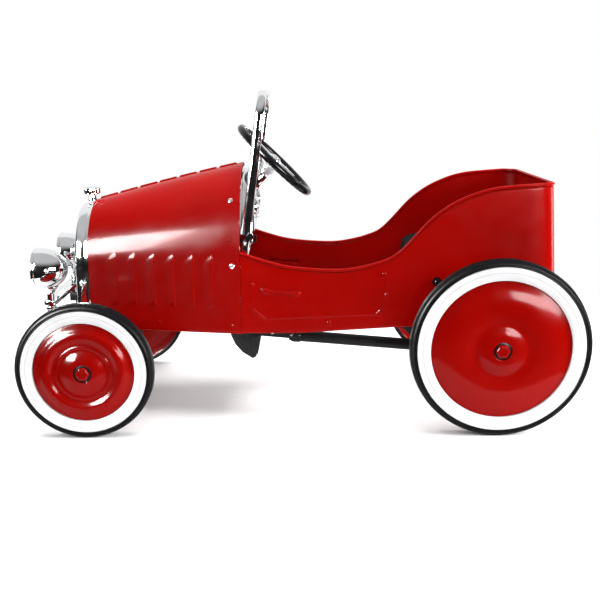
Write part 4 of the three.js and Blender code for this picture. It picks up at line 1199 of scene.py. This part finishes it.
def stuff(obj):
    """Puffs the padding up by a cloth simulation, no point of it further than the cap."""
    last_frame, cap = 20, 8 * MM
    start = [v.co.copy() for v in obj.data.vertices]
    held = obj.vertex_groups.new(name="held")
    for v in obj.data.vertices:
        _, y, z = (c / MM for c in v.co)
        if z < SEAT_LOW + 5:
            held.add([v.index], 1.0, "REPLACE")
        elif z > SEAT_LOW + 26 and any(abs(y - channel) < 3.2 for channel in CHANNELS):
            held.add([v.index], 0.9, "REPLACE")
    cloth = obj.modifiers.new("stuffing", "CLOTH")
    cloth.settings.use_pressure = True
    cloth.settings.uniform_pressure_force = 4.0
    cloth.settings.effector_weights.gravity = 0.0
    cloth.settings.vertex_group_mass = "held"
    cloth.settings.tension_stiffness = cloth.settings.compression_stiffness = 12
    cloth.point_cache.frame_start, cloth.point_cache.frame_end = 1, last_frame
    scene = bpy.context.scene
    scene.frame_start, scene.frame_end = 1, last_frame
    for f in range(1, last_frame + 1):
        scene.frame_set(f)
    swollen = obj.evaluated_get(bpy.context.evaluated_depsgraph_get())
    target = [v.co.copy() for v in swollen.data.vertices]
    obj.modifiers.remove(cloth)
    scene.frame_set(1)
    for v, a, b in zip(obj.data.vertices, start, target):
        d = b - a
        v.co = a + (d if d.length <= cap else d * (cap / d.length))


def crown(obj):
    """Presses the stitched channels in, raises the middle and keeps the padding in its space."""
    for v in obj.data.vertices:
        x, y, z = (c / MM for c in v.co)
        top = smoothstep(SEAT_LOW + 20, SEAT_LOW + 34, z)
        for channel in CHANNELS:
            z -= 3.4 * top * exp(-(((y - channel) / 3.6) ** 2))
        along = (min(max(x, SEAT_X0), SEAT_X1) - (SEAT_X0 + SEAT_X1) / 2) / (SEAT_X1 - SEAT_X0)
        across = min(abs(y), SEAT_HALF) / (2 * SEAT_HALF)
        z += 6.5 * top * cos(pi * across) * cos(pi * along)
        x = min(max(x, SEAT_X0 - 1.5), SEAT_X1 + 2)
        y = min(max(y, -SEAT_HALF - 7.5), SEAT_HALF + 7.5)
        v.co = Vector((x, y, max(z, SEAT_LOW))) * MM


def seat_padding():
    obj = add_object("seat_padding", raw_mesh("seat_padding", cushion_shape(3.0)))
    bpy.context.view_layer.objects.active = obj
    obj.select_set(True)
    remesh = obj.modifiers.new("voxels", "REMESH")
    remesh.mode = "VOXEL"
    remesh.voxel_size = 5 * MM
    bpy.ops.object.modifier_apply(modifier="voxels")
    stuff(obj)
    crown(obj)
    obj.data.materials.clear()
    obj.data.materials.append(SEAT)
    smooth = obj.modifiers.new("smooth", "SUBSURF")
    smooth.levels = smooth.render_levels = 1
    bpy.ops.object.modifier_apply(modifier="smooth")
    obj.data.shade_smooth()
    obj.select_set(False)
    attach(obj, "chassis")
    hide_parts("seat_cushion")
    return obj


cushion = seat_padding()


def piping(name, height):
    """The welt sewn round the cushion, laid on its surface."""
    out = 3.0
    outline = rounded(rectangle(SEAT_X0 - out, -SEAT_HALF - out, SEAT_X1 + out * 0.6, SEAT_HALF + out),
        24, 8)
    path = []
    for i, (x, y) in enumerate(outline):
        nx, ny = outline[(i + 1) % len(outline)]
        count = max(int(hypot(nx - x, ny - y) / 6), 1)
        for k in range(count):
            at = Vector((x + (nx - x) * k / count, y + (ny - y) * k / count, SEAT_LOW + height))
            path.append(tuple(cushion.closest_point_on_mesh(at * MM)[1] / MM))
    piece(name, sweep(path, circle(1.9, 10), normal=(0, 0, 1), closed=True), SEAT, sharp=60)


piping("seat_welt_top", 38)
piping("seat_welt_low", 4.5)

# ---- Floor, light and camera ----

FLOOR_CENTRE = (0.0, 0.16)
FLOOR_NEAR = (0.82, 0.64)  # the part of the floor that bright surfaces mirror
FLOOR_FAR = (0.98, 0.92)  # the whole floor; beyond it the white background carries on


def stage_floor():
    s = Surface("studio_floor", (0.86, 0.86, 0.86), 0.75, Specular_IOR_Level=0.1)
    s.vary("Base Color", 1.2, 2, (0.3, (0.85, 0.85, 0.855)), (0.7, (0.88, 0.88, 0.88)))
    count = 96
    inner, outer = ([(FLOOR_CENTRE[0] + rx * cos(a), FLOOR_CENTRE[1] + ry * sin(a), 0.0)
        for a in turns(count)] for rx, ry in (FLOOR_NEAR, FLOOR_FAR))
    edge = [(k, (k + 1) % count, count + (k + 1) % count, count + k) for k in range(count)]
    for name, points, faces in (("studio_floor", inner, [tuple(range(count))]),
            ("studio_floor_edge", outer + inner, edge)):
        mesh = bpy.data.meshes.new(name)
        mesh.from_pydata(points, [], faces)
        mesh.materials.append(s.material)
        obj = add_object(name, mesh)
        obj.visible_glossy = name == "studio_floor"


def softbox(name, where, target, size, power, gloss=False, diffuse=True):
    data = bpy.data.lights.new(name, "AREA")
    data.shape = "RECTANGLE"
    data.size, data.size_y = size
    data.energy = power
    obj = add_object(name, data)
    obj.location = where
    obj.rotation_euler = (Vector(target) - Vector(where)).to_track_quat("-Z", "Y").to_euler()
    obj.visible_glossy = gloss
    obj.visible_diffuse = diffuse


def studio_world():
    """White behind the subject for the camera, and for reflections a bright ceiling and a
    bright back wall around a dark room."""
    world = bpy.data.worlds.new("studio")
    bpy.context.scene.world = world
    world.use_nodes = True
    tree = world.node_tree
    tree.nodes.clear()
    add, wire = tree.nodes.new, tree.links.new
    split = add("ShaderNodeSeparateXYZ")
    wire(add("ShaderNodeTexCoord").outputs["Generated"], split.inputs["Vector"])
    brightest = add("ShaderNodeMath")
    brightest.operation = "MAXIMUM"
    for i, (axis, low, high, glow) in enumerate((("Z", 0.3, 0.8, 0.55), ("Y", -0.05, 0.45, 0.95))):
        step = add("ShaderNodeMapRange")
        step.interpolation_type = "SMOOTHSTEP"
        wire(split.outputs[axis], step.inputs["Value"])
        for key, number in (("From Min", low), ("From Max", high), ("To Min", 0.012), ("To Max", glow)):
            step.inputs[key].default_value = number
        wire(step.outputs["Result"], brightest.inputs[i])
    room, white = add("ShaderNodeBackground"), add("ShaderNodeBackground")
    wire(brightest.outputs["Value"], room.inputs["Color"])
    white.inputs["Color"].default_value = (1, 1, 1, 1)
    mix = add("ShaderNodeMixShader")
    wire(add("ShaderNodeLightPath").outputs["Is Camera Ray"], mix.inputs["Fac"])
    wire(room.outputs["Background"], mix.inputs[1])
    wire(white.outputs["Background"], mix.inputs[2])
    wire(mix.outputs["Shader"], add("ShaderNodeOutputWorld").inputs["Surface"])


def photo_camera():
    lens = bpy.data.cameras.new("photo_camera")
    lens.sensor_width = 36.0
    lens.lens = 52.141
    camera = add_object("photo_camera", lens)
    camera.location = (-0.0064, -1.4576, 0.52026)
    camera.rotation_mode = "QUATERNION"
    pan, tilt, roll = (Matrix.Rotation(radians(angle), 3, axis)
        for angle, axis in ((-0.112, "Z"), (76.518, "X"), (-0.25, "Z")))
    camera.rotation_quaternion = (pan @ tilt @ roll).to_quaternion()
    bpy.context.scene.camera = camera


stage_floor()
studio_world()
softbox("overhead", (0.0, 0.2, 2.4), (0, 0.1, 0.0), (3.0, 2.2), 106)
softbox("key_right", (1.5, -1.7, 1.5), (0.1, 0, 0.2), (0.9, 0.9), 17)
softbox("key_left", (-1.5, -1.5, 1.4), (-0.1, 0, 0.2), (0.8, 1.0), 14)
softbox("front_fill", (0.0, -2.6, 0.9), (0, 0, 0.2), (3.0, 1.2), 9)
softbox("back_fill", (0.0, 2.2, 1.6), (0, 0, 0.2), (2.6, 1.2), 14)
softbox("tail_fill", (2.2, -0.5, 0.7), (0.4, 0, 0.25), (0.8, 0.8), 95)
shine = {"gloss": True, "diffuse": False}
softbox("shine_left", (-1.5, -1.5, 0.86), (-0.25, -0.12, 0.3), (0.8, 0.9), 540, **shine)
softbox("shine_right", (1.75, -2.5, 0.6), (0.0, -0.13, 0.15), (1.5, 0.6), 175, **shine)
softbox("shine_tail", (2.3, 0.3, 0.25), (0.39, -0.1, 0.25), (0.6, 0.7), 22, **shine)
photo_camera()
bpy.context.scene.view_settings.view_transform = "Standard"
